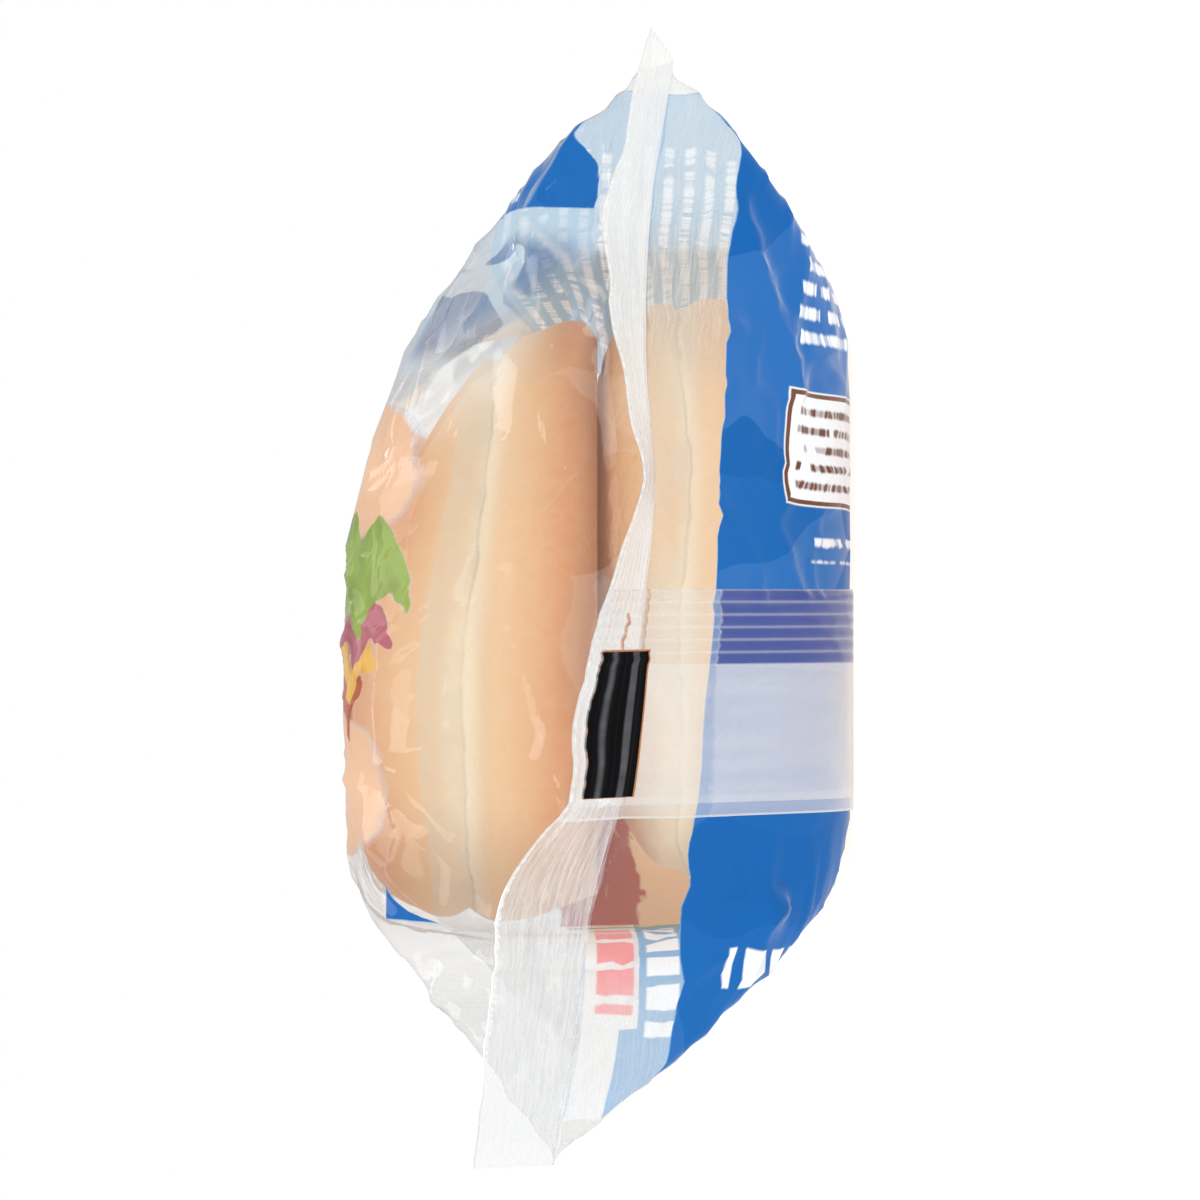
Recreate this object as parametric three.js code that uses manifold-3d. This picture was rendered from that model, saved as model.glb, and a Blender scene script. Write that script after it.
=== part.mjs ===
// A flow-wrapped pack of four hamburger buns, lying on its back panel.
//
// One film bag is wrapped tightly round two stacks of two buns. The film was formed into a tube, closed
// along the back by a ribbed seam whose loose skirt lies flat, and closed at each end by a crimped fin
// that is wider than the pack, so that its two tips stand out at the sides as ears. Between the body and
// each fin the film slopes in four creased facets. The upper buns lie a little to one side, which leaves
// one long top edge of the bag low and slack.
//
// Millimetres. X runs across the pack, Y along it and Z up from the table. The origin is on the table,
// under the middle of the pack. The front panel is on top and the back panel underneath.

import * as THREE from "three";
import { mergeVertices } from "three/addons/utils/BufferGeometryUtils.js";
import Module from "manifold-3d";

// The buns that set the size of the bag.
const BUN_DIAMETER = 115;
const BUN_HEIGHT = 47;
const BUNS_IN_A_STACK = 2;
const SLACK = 4.5; // film beyond the buns, on each side

// The body's cross-section: four corners, as [x, z], joined by slightly domed sides.
const STACK_HEIGHT = BUNS_IN_A_STACK * BUN_HEIGHT;
const HALF_WIDTH = BUN_DIAMETER / 2 + SLACK;
const SLACK_EDGE_DROP = 5; // the unsupported long edge of the front panel
const BODY_CORNERS = {
  frontPlus: [HALF_WIDTH, STACK_HEIGHT - SLACK_EDGE_DROP],
  frontMinus: [-HALF_WIDTH, STACK_HEIGHT + 1],
  backMinus: [-HALF_WIDTH + 2, 0],
  backPlus: [HALF_WIDTH + 4, 0],
};
const CORNER_ORDER = ["frontPlus", "frontMinus", "backMinus", "backPlus"];
// How much of the panel and of the side next to it each corner's rounding takes.
const CORNER_ROUNDING = { frontPlus: [54, 34], frontMinus: [13, 9], backMinus: [28, 14], backPlus: [30, 16] };
const CREASE_ROUNDING = 3.5; // what is left of the rounding where the creases run into an ear
const DOME = { front: 5.5, minusSide: 3.5, back: 0, plusSide: 3.5 };
const WAIST_DIP = 3.2; // the film draws in between the two stacks

// Where the body ends and the end closures lie, as distances from the middle of the pack.
const SHOULDER_Y = 84;
const SEAL_Y = 152;
const SHOULDER_SHARE = 0.5; // share of the slope over which the shoulder rounds over
const SEAL_BOW = 6; // the ears are drawn back towards the body
const EAR_BOW = 3.5; // the crease from the slack edge to its ear stands out by this much

// The two end seals: their tips, as [x, z]; the wave of the root, as the place across the pack and the
// height over the straight line between the tips; the lean of the fin, as the place across the pack and
// the degrees from straight out towards straight up; and how far the fin's free corner flares sideways.
const ENDS = {
  near: {
    sign: -1,
    tips: { plus: [99, 35], minus: [-104, 57] },
    wave: [
      [-104, 0], [-80, -1.4], [-58, -1.9], [-35, -5.2], [-9, -5.4], [21, -4.9], [44, -0.8], [72, 1.3], [99, 0],
    ],
    lean: [
      [-104, 57], [-80, 68], [-58, 78], [-48, 62], [-36, 38], [-9, 33], [5, 20], [21, 10], [44, 16], [76, 28],
      [99, 14],
    ],
    flare: 5,
  },
  far: {
    sign: 1,
    tips: { plus: [97, 38], minus: [-101, 55] },
    wave: [[-101, 0], [-70, -2.6], [-34, -4.4], [0, -1.2], [30, 1.6], [66, -1.0], [97, 0]],
    lean: [[-101, 44], [-66, 55], [-30, 36], [4, 20], [24, 10], [66, 26], [97, 34]],
    flare: 3,
  },
};
const FLARE_WIDTH = 16; // the stretch of fin over which its corner flares
const FIN_WIDTH = 19;
const FIN_THICKNESS = 1;
const FIN_BEND = 4; // the first stretch of the fin, over which it takes up its lean
const FIN_STEPS = [2, 4, 9, 14, FIN_WIDTH];

// The seam along the back: a ribbed weld and a loose skirt, folded flat towards -X.
const SEAM_ROOT_X = 2;
const WELD_WIDTH = 14;
const RIBS = 6;
const RIB_HEIGHT = 0.6;
const SKIRT_WIDTH = 28;
const SKIRT_TAPER = 4; // it is this much narrower where the fin crosses it
const SEAM_THICKNESS = 1;
const SKIRT_LIFT = 1.8; // how far the skirt's edge hangs off the sloping film
const SEAM_START_Y = 78;
const SEAM_FREE_Y = [86, 108]; // the seam parts from the body over this stretch

// Broad creases in the sloping film: the side they are on, where they start and end, as the place across
// the pack and the share of the way from body to fin, and how wide and high they stand.
const CREASES = [
  { end: "near", side: "front", from: [88, 0.72], to: [52, 0.36], width: 3.6, height: 2.0 },
  { end: "near", side: "front", from: [52, 0.36], to: [36, 0.92], width: 4.0, height: 1.8 },
  { end: "near", side: "front", from: [-66, 0.24], to: [-78, 0.86], width: 4.2, height: -2.0 },
  { end: "near", side: "front", from: [-34, 0.2], to: [-50, 0.62], width: 4.4, height: 1.6 },
  { end: "near", side: "back", from: [72, 0.62], to: [40, 0.28], width: 4.0, height: 2.0 },
  { end: "near", side: "back", from: [-58, 0.3], to: [-74, 0.7], width: 3.8, height: 2.2 },
  { end: "near", side: "back", from: [-58, 0.3], to: [-52, 0.66], width: 3.8, height: 2.0 },
  { end: "far", side: "front", from: [80, 0.7], to: [44, 0.3], width: 4.0, height: 2.0 },
  { end: "far", side: "front", from: [-30, 0.25], to: [-62, 0.8], width: 4.0, height: 1.8 },
  { end: "far", side: "back", from: [60, 0.3], to: [70, 0.75], width: 3.8, height: 2.0 },
  { end: "far", side: "back", from: [-76, 0.7], to: [-50, 0.3], width: 4.0, height: -2.0 },
];

// How finely the skin is divided.
const FRONT_STEPS = 20;
const SIDE_STEPS = 8;
const CORNER_STEPS = 4;
const BODY_RINGS = 12;
const SLOPE_RINGS = 9;

const lerp = THREE.MathUtils.lerp;
const smoothstep = THREE.MathUtils.smoothstep;

// A smooth curve through [place, value] stations, flat beyond the first and the last.
function along(stations, place) {
  const last = stations.length - 1;
  if (place <= stations[0][0]) return stations[0][1];
  if (place >= stations[last][0]) return stations[last][1];
  const k = stations.findIndex(([at]) => at > place) - 1;
  const tangent = (i) => {
    const [before, after] = [stations[Math.max(i - 1, 0)], stations[Math.min(i + 1, last)]];
    return (after[1] - before[1]) / (after[0] - before[0]);
  };
  const [[x0, v0], [x1, v1]] = [stations[k], stations[k + 1]];
  const span = x1 - x0;
  const t = (place - x0) / span;
  return (
    v0 * (1 + 2 * t) * (1 - t) ** 2 +
    tangent(k) * span * t * (1 - t) ** 2 +
    v1 * t * t * (3 - 2 * t) +
    tangent(k + 1) * span * t * t * (t - 1)
  );
}

// How far the film has closed at this distance from the middle: 0 on the body, 1 at the fin.
function closure(distance) {
  const q = (distance - SHOULDER_Y) / (SEAL_Y - SHOULDER_Y);
  if (q <= 0) return 0;
  const half = SHOULDER_SHARE / 2;
  const raised = q < SHOULDER_SHARE ? (q * q) / (2 * SHOULDER_SHARE) : q - half;
  return raised / (1 - half);
}

const rootWave = (end, x) => along(ENDS[end].wave, x);
const finLean = (end, x) => THREE.MathUtils.degToRad(along(ENDS[end].lean, x));

// Each corner of the section runs nearly straight from the body's corner to the tip of its ear.
function sectionCorners(end, closed) {
  const corners = {};
  for (const name of CORNER_ORDER) {
    const [tipX, tipZ] = ENDS[end].tips[name.endsWith("Plus") ? "plus" : "minus"];
    const half = name.startsWith("front") ? FIN_THICKNESS / 2 : -FIN_THICKNESS / 2;
    const [x, z] = BODY_CORNERS[name];
    corners[name] = [lerp(x, tipX, closed), lerp(z, tipZ + half, closed)];
  }
  const bow = EAR_BOW * (27 / 4) * closed ** 2 * (1 - closed);
  corners.frontPlus = [corners.frontPlus[0] + 0.8 * bow, corners.frontPlus[1] + 0.6 * bow];
  return corners;
}

// How far the sides dome out at this place: most over each stack of buns, less between them.
function domes(y, closed) {
  const fade = (1 - closed) ** 2;
  const betweenStacks = Math.cos(Math.min(Math.abs(y) / (BUN_DIAMETER / 2), 1) * (Math.PI / 2)) ** 2;
  const dip = WAIST_DIP * betweenStacks;
  return [
    (DOME.front - dip) * fade,
    (DOME.minusSide - dip) * fade,
    DOME.back,
    (DOME.plusSide - dip) * fade,
  ];
}

// One closed section of the bag as [x, z] points, from the middle of the +X side over the front panel.
function outline(end, y, closed) {
  const corners = sectionCorners(end, closed);
  const dome = domes(y, closed);
  const steps = [FRONT_STEPS, SIDE_STEPS, FRONT_STEPS, SIDE_STEPS];
  const edges = CORNER_ORDER.map((name, k) => {
    const next = CORNER_ORDER[(k + 1) % CORNER_ORDER.length];
    const [a, b] = [corners[name], corners[next]];
    const length = Math.hypot(b[0] - a[0], b[1] - a[1]);
    return { a, b, length, names: [name, next] };
  });
  const rounding = (name, k) => {
    const wanted = lerp(CORNER_ROUNDING[name][k % 2], CREASE_ROUNDING, Math.sqrt(closed));
    return Math.min(wanted, 0.42 * edges[k].length);
  };
  const stretches = edges.map(({ a, b, length, names }, k) => {
    const [start, stop] = [rounding(names[0], k) / length, 1 - rounding(names[1], k) / length];
    const outward = [(b[1] - a[1]) / length, (a[0] - b[0]) / length];
    return Array.from({ length: steps[k] + 1 }, (_, i) => {
      const w = lerp(start, stop, i / steps[k]);
      const raise = dome[k] * 4 * w * (1 - w);
      return [lerp(a[0], b[0], w) + raise * outward[0], lerp(a[1], b[1], w) + raise * outward[1]];
    });
  });
  const points = [];
  stretches.forEach((stretch, k) => {
    points.push(...stretch);
    const [from, to] = [stretch.at(-1), stretches[(k + 1) % 4][0]];
    const corner = edges[k].b;
    for (let i = 1; i < CORNER_STEPS; i++) {
      const t = i / CORNER_STEPS;
      points.push([0, 1].map((c) => (1 - t) ** 2 * from[c] + 2 * t * (1 - t) * corner[c] + t * t * to[c]));
    }
  });
  const beforeMiddle = SIDE_STEPS / 2 + CORNER_STEPS - 1;
  return [...points.slice(-beforeMiddle), ...points.slice(0, -beforeMiddle)];
}

// How high the creases stand at a place on one side of the sloping film.
function creaseHeight(end, side, x, closed) {
  const slopeLength = STACK_HEIGHT / 2 + (SEAL_Y - SHOULDER_Y) / 2;
  let height = 0;
  for (const crease of CREASES) {
    if (crease.end !== end || crease.side !== side) continue;
    const from = new THREE.Vector2(crease.from[0], crease.from[1] * slopeLength);
    const to = new THREE.Vector2(crease.to[0], crease.to[1] * slopeLength);
    const here = new THREE.Vector2(x, closed * slopeLength);
    const run = to.clone().sub(from);
    const t = THREE.MathUtils.clamp(here.clone().sub(from).dot(run) / run.lengthSq(), 0, 1);
    const away = here.distanceTo(from.clone().addScaledVector(run, t));
    height += crease.height * Math.exp(-((away / crease.width) ** 2));
  }
  return height;
}

// How far the seal and the film near it are drawn back towards the body at a place across the pack.
const drawnBack = (x, closed) => SEAL_BOW * closed ** 2 * (x / HALF_WIDTH) ** 2 * (HALF_WIDTH / 100) ** 2;

// A ring of the film at a distance from the middle, with the root's wave and the creases in it.
function filmRing(end, distance) {
  const closed = closure(distance);
  const points = outline(end, distance, closed);
  const half = points.length / 2;
  return points.map(([x, z], i) => {
    const upper = i < half;
    const fade = 4 * closed * (1 - closed);
    const stand = Math.SQRT1_2 * fade * creaseHeight(end, upper ? "front" : "back", x, closed);
    const y = ENDS[end].sign * (distance + stand - drawnBack(x, closed));
    const wave = rootWave(end, x) * closed ** 2;
    return new THREE.Vector3(x, y, z + wave + (upper ? stand : -stand));
  });
}

// The rings of an end's fin, from just off its root to its cut edge. The fin leans over as it leaves.
function finRings(end) {
  const { sign, flare } = ENDS[end];
  const root = filmRing(end, SEAL_Y);
  const half = root.length / 2;
  const middles = root.map((p, i) => p.clone().add(root[(root.length - i) % root.length]).multiplyScalar(0.5));
  let before = 0;
  return FIN_STEPS.map((reach) => {
    const share = (before + reach) / 2 / FIN_BEND;
    const step = reach - before;
    before = reach;
    return middles.map((middle, i) => {
      const rootX = (root[i].x + root[(root.length - i) % root.length].x) / 2;
      const lean = finLean(end, rootX);
      const onTheWay = lean * Math.min(share, 1);
      const tipX = ENDS[end].tips.plus[0];
      const sideways = (flare / FIN_WIDTH) * smoothstep(rootX, tipX - FLARE_WIDTH, tipX);
      const out = new THREE.Vector3(sideways, sign * Math.cos(onTheWay), Math.sin(onTheWay));
      middle.addScaledVector(out, step);
      const here = lean * Math.min(reach / FIN_BEND, 1);
      const offset = i === 0 || i === half ? 0 : (i < half ? 1 : -1) * (FIN_THICKNESS / 2);
      return middle.clone().add(new THREE.Vector3(0, -sign * Math.sin(here), Math.cos(here)).multiplyScalar(offset));
    });
  });
}

// A closed skin over rings that each run round the bag the same way. The two end rings are flat slits,
// and each is closed by joining its upper points to the lower ones opposite.
function skin(rings) {
  const count = rings[0].length;
  const half = count / 2;
  const index = [];
  const quad = (a, b, c, d) => index.push(a, b, c, a, c, d);
  for (let r = 0; r + 1 < rings.length; r++) {
    for (let i = 0; i < count; i++) {
      const next = (i + 1) % count;
      quad(r * count + i, (r + 1) * count + i, (r + 1) * count + next, r * count + next);
    }
  }
  const close = (first, atStart) => {
    for (let i = 0; i < half; i++) {
      const corners = [i, i + 1, (count - i - 1) % count, (count - i) % count].map((k) => first + k);
      const [a, b, c, d] = atStart ? corners : corners.reverse();
      if (i > 0 && i < half - 1) quad(a, b, c, d);
      else index.push(...[...new Set([a, b, c, d])]);
    }
  };
  close(0, true);
  close((rings.length - 1) * count, false);
  const positions = rings.flat().flatMap((p) => p.toArray());
  return new THREE.BufferGeometry()
    .setAttribute("position", new THREE.Float32BufferAttribute(positions, 3))
    .setIndex(index);
}

function bagSkin() {
  const slope = Array.from({ length: SLOPE_RINGS }, (_, i) => {
    return lerp(SHOULDER_Y, SEAL_Y, (i + 1) / SLOPE_RINGS);
  });
  const body = Array.from({ length: BODY_RINGS + 1 }, (_, i) => {
    return lerp(-SHOULDER_Y, SHOULDER_Y, i / BODY_RINGS);
  });
  const rings = [
    ...finRings("near").reverse(),
    ...slope.toReversed().map((distance) => filmRing("near", distance)),
    ...body.map((y) => filmRing(y < 0 ? "near" : "far", Math.abs(y))),
    ...slope.map((distance) => filmRing("far", distance)),
    ...finRings("far"),
  ];
  return skin(rings);
}

// The height of the back panel's film over the table, away from its corners.
function backFilmHeight(end, x, distance) {
  const closed = closure(distance);
  const { backMinus, backPlus } = sectionCorners(end, closed);
  const share = (x - backMinus[0]) / (backPlus[0] - backMinus[0]);
  return lerp(backMinus[1], backPlus[1], share) + rootWave(end, x) * closed ** 2;
}

// The part of the back seam that shows at one end: it leaves the flat underside and climbs the slope.
function seamSkin(end) {
  const { sign } = ENDS[end];
  const stepsPerRib = 2;
  const weldSteps = RIBS * stepsPerRib;
  const skirtSteps = 5;
  const across = weldSteps + skirtSteps;
  const lengthwise = 10;
  const stopY = SEAL_Y + FIN_THICKNESS;
  const pointAt = (i, j, outer) => {
    const inWeld = Math.min(i / weldSteps, 1);
    const inSkirt = Math.max((i - weldSteps) / skirtSteps, 0);
    const distance = lerp(SEAM_START_Y, stopY, j / lengthwise);
    const skirt = SKIRT_WIDTH - (SKIRT_TAPER * j) / lengthwise;
    const x = SEAM_ROOT_X - WELD_WIDTH * inWeld - skirt * inSkirt;
    const onSlope = Math.min(distance, SEAL_Y);
    const z = backFilmHeight(end, x, onSlope);
    const rise = backFilmHeight(end, x, onSlope) - backFilmHeight(end, x, onSlope - 1);
    const outward = new THREE.Vector2(rise, -1).normalize();
    const free = smoothstep(distance, ...SEAM_FREE_Y) * (1 - smoothstep(distance, SEAL_Y - 8, SEAL_Y));
    const lift = free * SKIRT_LIFT * (x < SEAM_ROOT_X ? (SEAM_ROOT_X - x) / (WELD_WIDTH + SKIRT_WIDTH) : 0);
    const ribs = free * RIB_HEIGHT * 0.5 * (1 - Math.cos(2 * Math.PI * RIBS * inWeld));
    const sunk = -SEAM_THICKNESS + lift + free * SEAM_THICKNESS * 0.8;
    const off = outer ? sunk + SEAM_THICKNESS + ribs : sunk;
    const y = sign * (distance + off * outward.x - drawnBack(x, closure(onSlope)));
    return new THREE.Vector3(x, y, Math.max(z + off * outward.y, 0));
  };
  const rows = [];
  for (let j = 0; j <= lengthwise; j++) {
    const outer = Array.from({ length: across + 1 }, (_, i) => pointAt(i, j, true));
    const inner = Array.from({ length: across + 1 }, (_, i) => pointAt(i, j, false));
    rows.push([...outer, ...inner.reverse()]);
  }
  const count = rows[0].length;
  const index = [];
  const quad = (a, b, c, d) => index.push(a, b, c, a, c, d);
  for (let j = 0; j < lengthwise; j++) {
    for (let i = 0; i < count; i++) {
      const next = (i + 1) % count;
      quad(j * count + i, (j + 1) * count + i, (j + 1) * count + next, j * count + next);
    }
  }
  for (let i = 0; i < across; i++) {
    const [a, b, c, d] = [i, i + 1, count - i - 2, count - i - 1];
    const last = lengthwise * count;
    quad(a, b, c, d);
    quad(last + d, last + c, last + b, last + a);
  }
  if (end === "far") index.reverse();
  const positions = rows.flat().flatMap((p) => p.toArray());
  return new THREE.BufferGeometry()
    .setAttribute("position", new THREE.Float32BufferAttribute(positions, 3))
    .setIndex(index);
}

const wasm = await Module();
wasm.setup();

function solid(geometry) {
  const merged = mergeVertices(geometry, 1e-4);
  return new wasm.Manifold(
    new wasm.Mesh({
      numProp: 3,
      vertProperties: merged.attributes.position.array,
      triVerts: new Uint32Array(merged.index.array),
    }),
  );
}

function geometryOf(made) {
  const { vertProperties, triVerts } = made.getMesh();
  const geometry = new THREE.BufferGeometry()
    .setAttribute("position", new THREE.BufferAttribute(vertProperties, 3))
    .setIndex(new THREE.BufferAttribute(triVerts, 1));
  geometry.computeVertexNormals();
  return geometry;
}

function bag() {
  const joined = solid(bagSkin()).add(solid(seamSkin("near"))).add(solid(seamSkin("far")));
  const film = new THREE.MeshStandardMaterial({ color: 0xd9c9b4, roughness: 0.22, metalness: 0 });
  const mesh = new THREE.Mesh(geometryOf(joined), film);
  mesh.name = "bag";
  return mesh;
}

const pack = new THREE.Group();
pack.add(bag());

export default pack;
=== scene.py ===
"""A flow-wrapped pack of hamburger buns: the buns, the crumbs, the printed film bag and its back seam.

The pack lies on its back panel. X runs across it, Y along it and Z up; the shown end is at -Y. The film's
shape is worked out in millimetres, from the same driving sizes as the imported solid, and is made in metres.
"""

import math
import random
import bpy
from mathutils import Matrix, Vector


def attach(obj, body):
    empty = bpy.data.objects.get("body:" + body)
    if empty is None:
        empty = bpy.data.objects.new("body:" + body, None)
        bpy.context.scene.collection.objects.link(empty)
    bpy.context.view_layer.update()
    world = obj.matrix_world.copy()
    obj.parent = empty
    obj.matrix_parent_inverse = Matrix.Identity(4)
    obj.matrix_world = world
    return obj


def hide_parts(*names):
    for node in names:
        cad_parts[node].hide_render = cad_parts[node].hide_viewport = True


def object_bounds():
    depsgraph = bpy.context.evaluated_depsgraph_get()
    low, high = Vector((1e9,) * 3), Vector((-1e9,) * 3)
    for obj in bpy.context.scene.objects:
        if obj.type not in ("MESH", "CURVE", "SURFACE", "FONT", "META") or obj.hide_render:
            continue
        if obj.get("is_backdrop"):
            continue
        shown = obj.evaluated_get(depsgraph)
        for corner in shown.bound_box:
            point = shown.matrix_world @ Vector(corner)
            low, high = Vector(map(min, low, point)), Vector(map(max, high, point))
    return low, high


bl_info = {
    "name": "Bagged Hamburger Buns",
    "version": (1, 0, 0),
    "blender": (4, 5, 0),
    "location": "3D View > Sidebar > Buns",
    "description": "Builds a flow-wrapped pack of hamburger buns around its packed solid",
    "category": "Add Mesh",
}

import bmesh
import bpy
import numpy as np
from bpy.props import FloatProperty, FloatVectorProperty, IntProperty, PointerProperty
from mathutils import Vector, noise

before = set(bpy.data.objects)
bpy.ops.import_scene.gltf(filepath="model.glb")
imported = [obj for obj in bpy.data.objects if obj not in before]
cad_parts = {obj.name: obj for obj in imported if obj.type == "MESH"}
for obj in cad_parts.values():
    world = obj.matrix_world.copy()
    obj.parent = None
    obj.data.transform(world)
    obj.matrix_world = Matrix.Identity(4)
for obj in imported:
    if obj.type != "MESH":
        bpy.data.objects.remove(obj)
CAD_LOW, CAD_HIGH = (corner.copy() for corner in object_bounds())

MM = 0.001
BODY = "root"
NODE = "bag"

# ---------------------------------------------------------------------------------------------------------
# The film's shape, in millimetres, as in the solid.

BUN_DIAMETER = 115.0
BUN_HEIGHT = 47.0
SLACK = 4.5
STACK_HEIGHT = 2 * BUN_HEIGHT
HALF_WIDTH = BUN_DIAMETER / 2 + SLACK
SLACK_EDGE_DROP = 5.0
BODY_CORNERS = {
    "frontPlus": (HALF_WIDTH, STACK_HEIGHT - SLACK_EDGE_DROP),
    "frontMinus": (-HALF_WIDTH, STACK_HEIGHT + 1),
    "backMinus": (-HALF_WIDTH + 2, 0.0),
    "backPlus": (HALF_WIDTH + 4, 0.0),
}
CORNER_ROUNDING = {  # what each corner's rounding takes of the panel and of the side next to it
    "frontPlus": (54.0, 34.0),
    "frontMinus": (13.0, 9.0),
    "backMinus": (28.0, 14.0),
    "backPlus": (30.0, 16.0),
}
CREASE_ROUNDING = 3.0
DOME = {"front": 5.5, "side": 3.5}
WAIST_DIP = 3.2
SIDE_DIP = 12.0
TUCK = 11.0  # the sides are drawn in this much further between the upper and the lower buns
TUCK_PLACE, TUCK_WIDTH = 0.52, 0.085  # as shares of a side
SHOULDER_Y = 84.0
SEAL_Y = 152.0
SHOULDER_SHARE = 0.5
SEAL_BOW = 6.0
EAR_BOW = 3.5
EAR_BACK_BOW = 1.8
EAR_TIP_BOW = 5.0
HALF_SEAL = 100.0

ENDS = {
    "near": {
        "sign": -1,
        "tips": {"Plus": (99.0, 35.0), "Minus": (-104.0, 57.0)},
        "wave": ((-104, 0), (-80, -1.4), (-58, -1.9), (-35, -5.2), (-9, -5.4), (21, -4.9), (44, -0.8),
                 (72, 1.3), (99, 0)),
        "lean": ((-104, 57), (-80, 68), (-58, 78), (-48, 62), (-36, 38), (-9, 33), (5, 20), (21, 10),
                 (44, 16), (76, 28), (99, 14)),
        "flare": 5.0,
        "seed": 3,
    },
    "far": {
        "sign": 1,
        "tips": {"Plus": (97.0, 38.0), "Minus": (-101.0, 55.0)},
        "wave": ((-101, 0), (-70, -2.6), (-34, -4.4), (0, -1.2), (30, 1.6), (66, -1.0), (97, 0)),
        "lean": ((-101, 44), (-66, 55), (-30, 36), (4, 20), (24, 10), (66, 26), (97, 34)),
        "flare": 3.0,
        "seed": 8,
    },
}
FLARE_WIDTH = 16.0
FIN_WIDTH = 19.0
FIN_GAP = 0.5  # between the outer faces of the two layers
FIN_BEND = 4.0
RAGGED_EDGE = 0.05  # how much wider or narrower the fin is from place to place
CRIMP_PITCH = 2.1
CRIMP_DEPTH = 0.12

# Broad creases: end, side, from and to as (place across, share of the way to the seal), width, height.
CREASES = (
    ("near", "front", (88, 0.72), (68, 0.56), 2.6, 2.0),
    ("near", "front", (68, 0.56), (53, 0.92), 2.6, 1.8),
    ("near", "front", (-66, 0.24), (-78, 0.86), 4.2, -2.0),
    ("near", "front", (-34, 0.2), (-50, 0.62), 3.6, 1.6),
    ("near", "back", (72, 0.62), (40, 0.28), 3.2, 2.0),
    ("near", "back", (-58, 0.3), (-74, 0.7), 3.0, 2.2),
    ("near", "back", (-58, 0.3), (-52, 0.66), 3.0, 2.0),
    ("far", "front", (80, 0.7), (44, 0.3), 4.0, 2.0),
    ("far", "front", (-30, 0.25), (-62, 0.8), 4.0, 1.8),
    ("far", "back", (60, 0.3), (70, 0.75), 3.8, 2.0),
    ("far", "back", (-76, 0.7), (-50, 0.3), 4.0, -2.0),
)

# The film's grid: steps along each side of the section and of each corner, and rows along the pack.
PANEL_STEPS = 80
SIDE_STEPS = 36
CORNER_STEPS = 6
FIN_ROWS = {"near": 36, "far": 14}
SLOPE_ROWS = {"near": 62, "far": 30}
BODY_ROWS = 40
FLOOR_CLEARANCE = 0.55  # the film's underside lies on the back seam's layers


def along(stations, places):
    """A smooth curve through (place, value) stations, flat beyond the first and the last."""
    at, value = np.array(stations, float).T
    before, after = np.maximum(np.arange(len(at)) - 1, 0), np.minimum(np.arange(len(at)) + 1, len(at) - 1)
    tangent = (value[after] - value[before]) / (at[after] - at[before])
    places = np.clip(places, at[0], at[-1])
    k = np.clip(np.searchsorted(at, places, side="right") - 1, 0, len(at) - 2)
    span = at[k + 1] - at[k]
    t = (places - at[k]) / span
    return (
        value[k] * (1 + 2 * t) * (1 - t) ** 2
        + tangent[k] * span * t * (1 - t) ** 2
        + value[k + 1] * t * t * (3 - 2 * t)
        + tangent[k + 1] * span * t * t * (t - 1)
    )


def smoothstep(value, low, high):
    t = np.clip((value - low) / (high - low), 0, 1)
    return t * t * (3 - 2 * t)


def closure(distance):
    """How far the film has closed at a distance from the middle: 0 on the body, 1 at the fin's root."""
    q = max(0.0, (distance - SHOULDER_Y) / (SEAL_Y - SHOULDER_Y))
    half = SHOULDER_SHARE / 2
    raised = q * q / (2 * SHOULDER_SHARE) if q < SHOULDER_SHARE else q - half
    return raised / (1 - half)


def closed_at(share):
    """The distance from the middle at which the film has closed by this share."""
    raised = share * (1 - SHOULDER_SHARE / 2)
    q = math.sqrt(2 * SHOULDER_SHARE * raised) if raised < SHOULDER_SHARE / 2 else raised + SHOULDER_SHARE / 2
    return SHOULDER_Y + (SEAL_Y - SHOULDER_Y) * q


def section_corners(end, closed):
    corners = {}
    for name, (x, z) in BODY_CORNERS.items():
        tip_x, tip_z = ENDS[end]["tips"]["Plus" if name.endswith("Plus") else "Minus"]
        half = FIN_GAP / 2 if name.startswith("front") else -FIN_GAP / 2
        corners[name] = np.array((x + (tip_x - x) * closed, z + (tip_z + half - z) * closed))
    bow = EAR_BOW * 27 / 4 * closed**2 * (1 - closed)
    corners["frontPlus"] += np.array((0.8, 0.6)) * bow
    if end == "near":
        corners["backPlus"] += np.array((0.64, -0.77)) * bow / EAR_BOW * EAR_BACK_BOW
        corners["backMinus"] += np.array((-0.6, -0.8)) * 27 / 4 * closed * (1 - closed) ** 2 * EAR_BACK_BOW
        corners["frontPlus"] += np.array((0.1, 1.0)) * EAR_TIP_BOW * closed**24 * (1 - closed) / 0.015
    return corners


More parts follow.
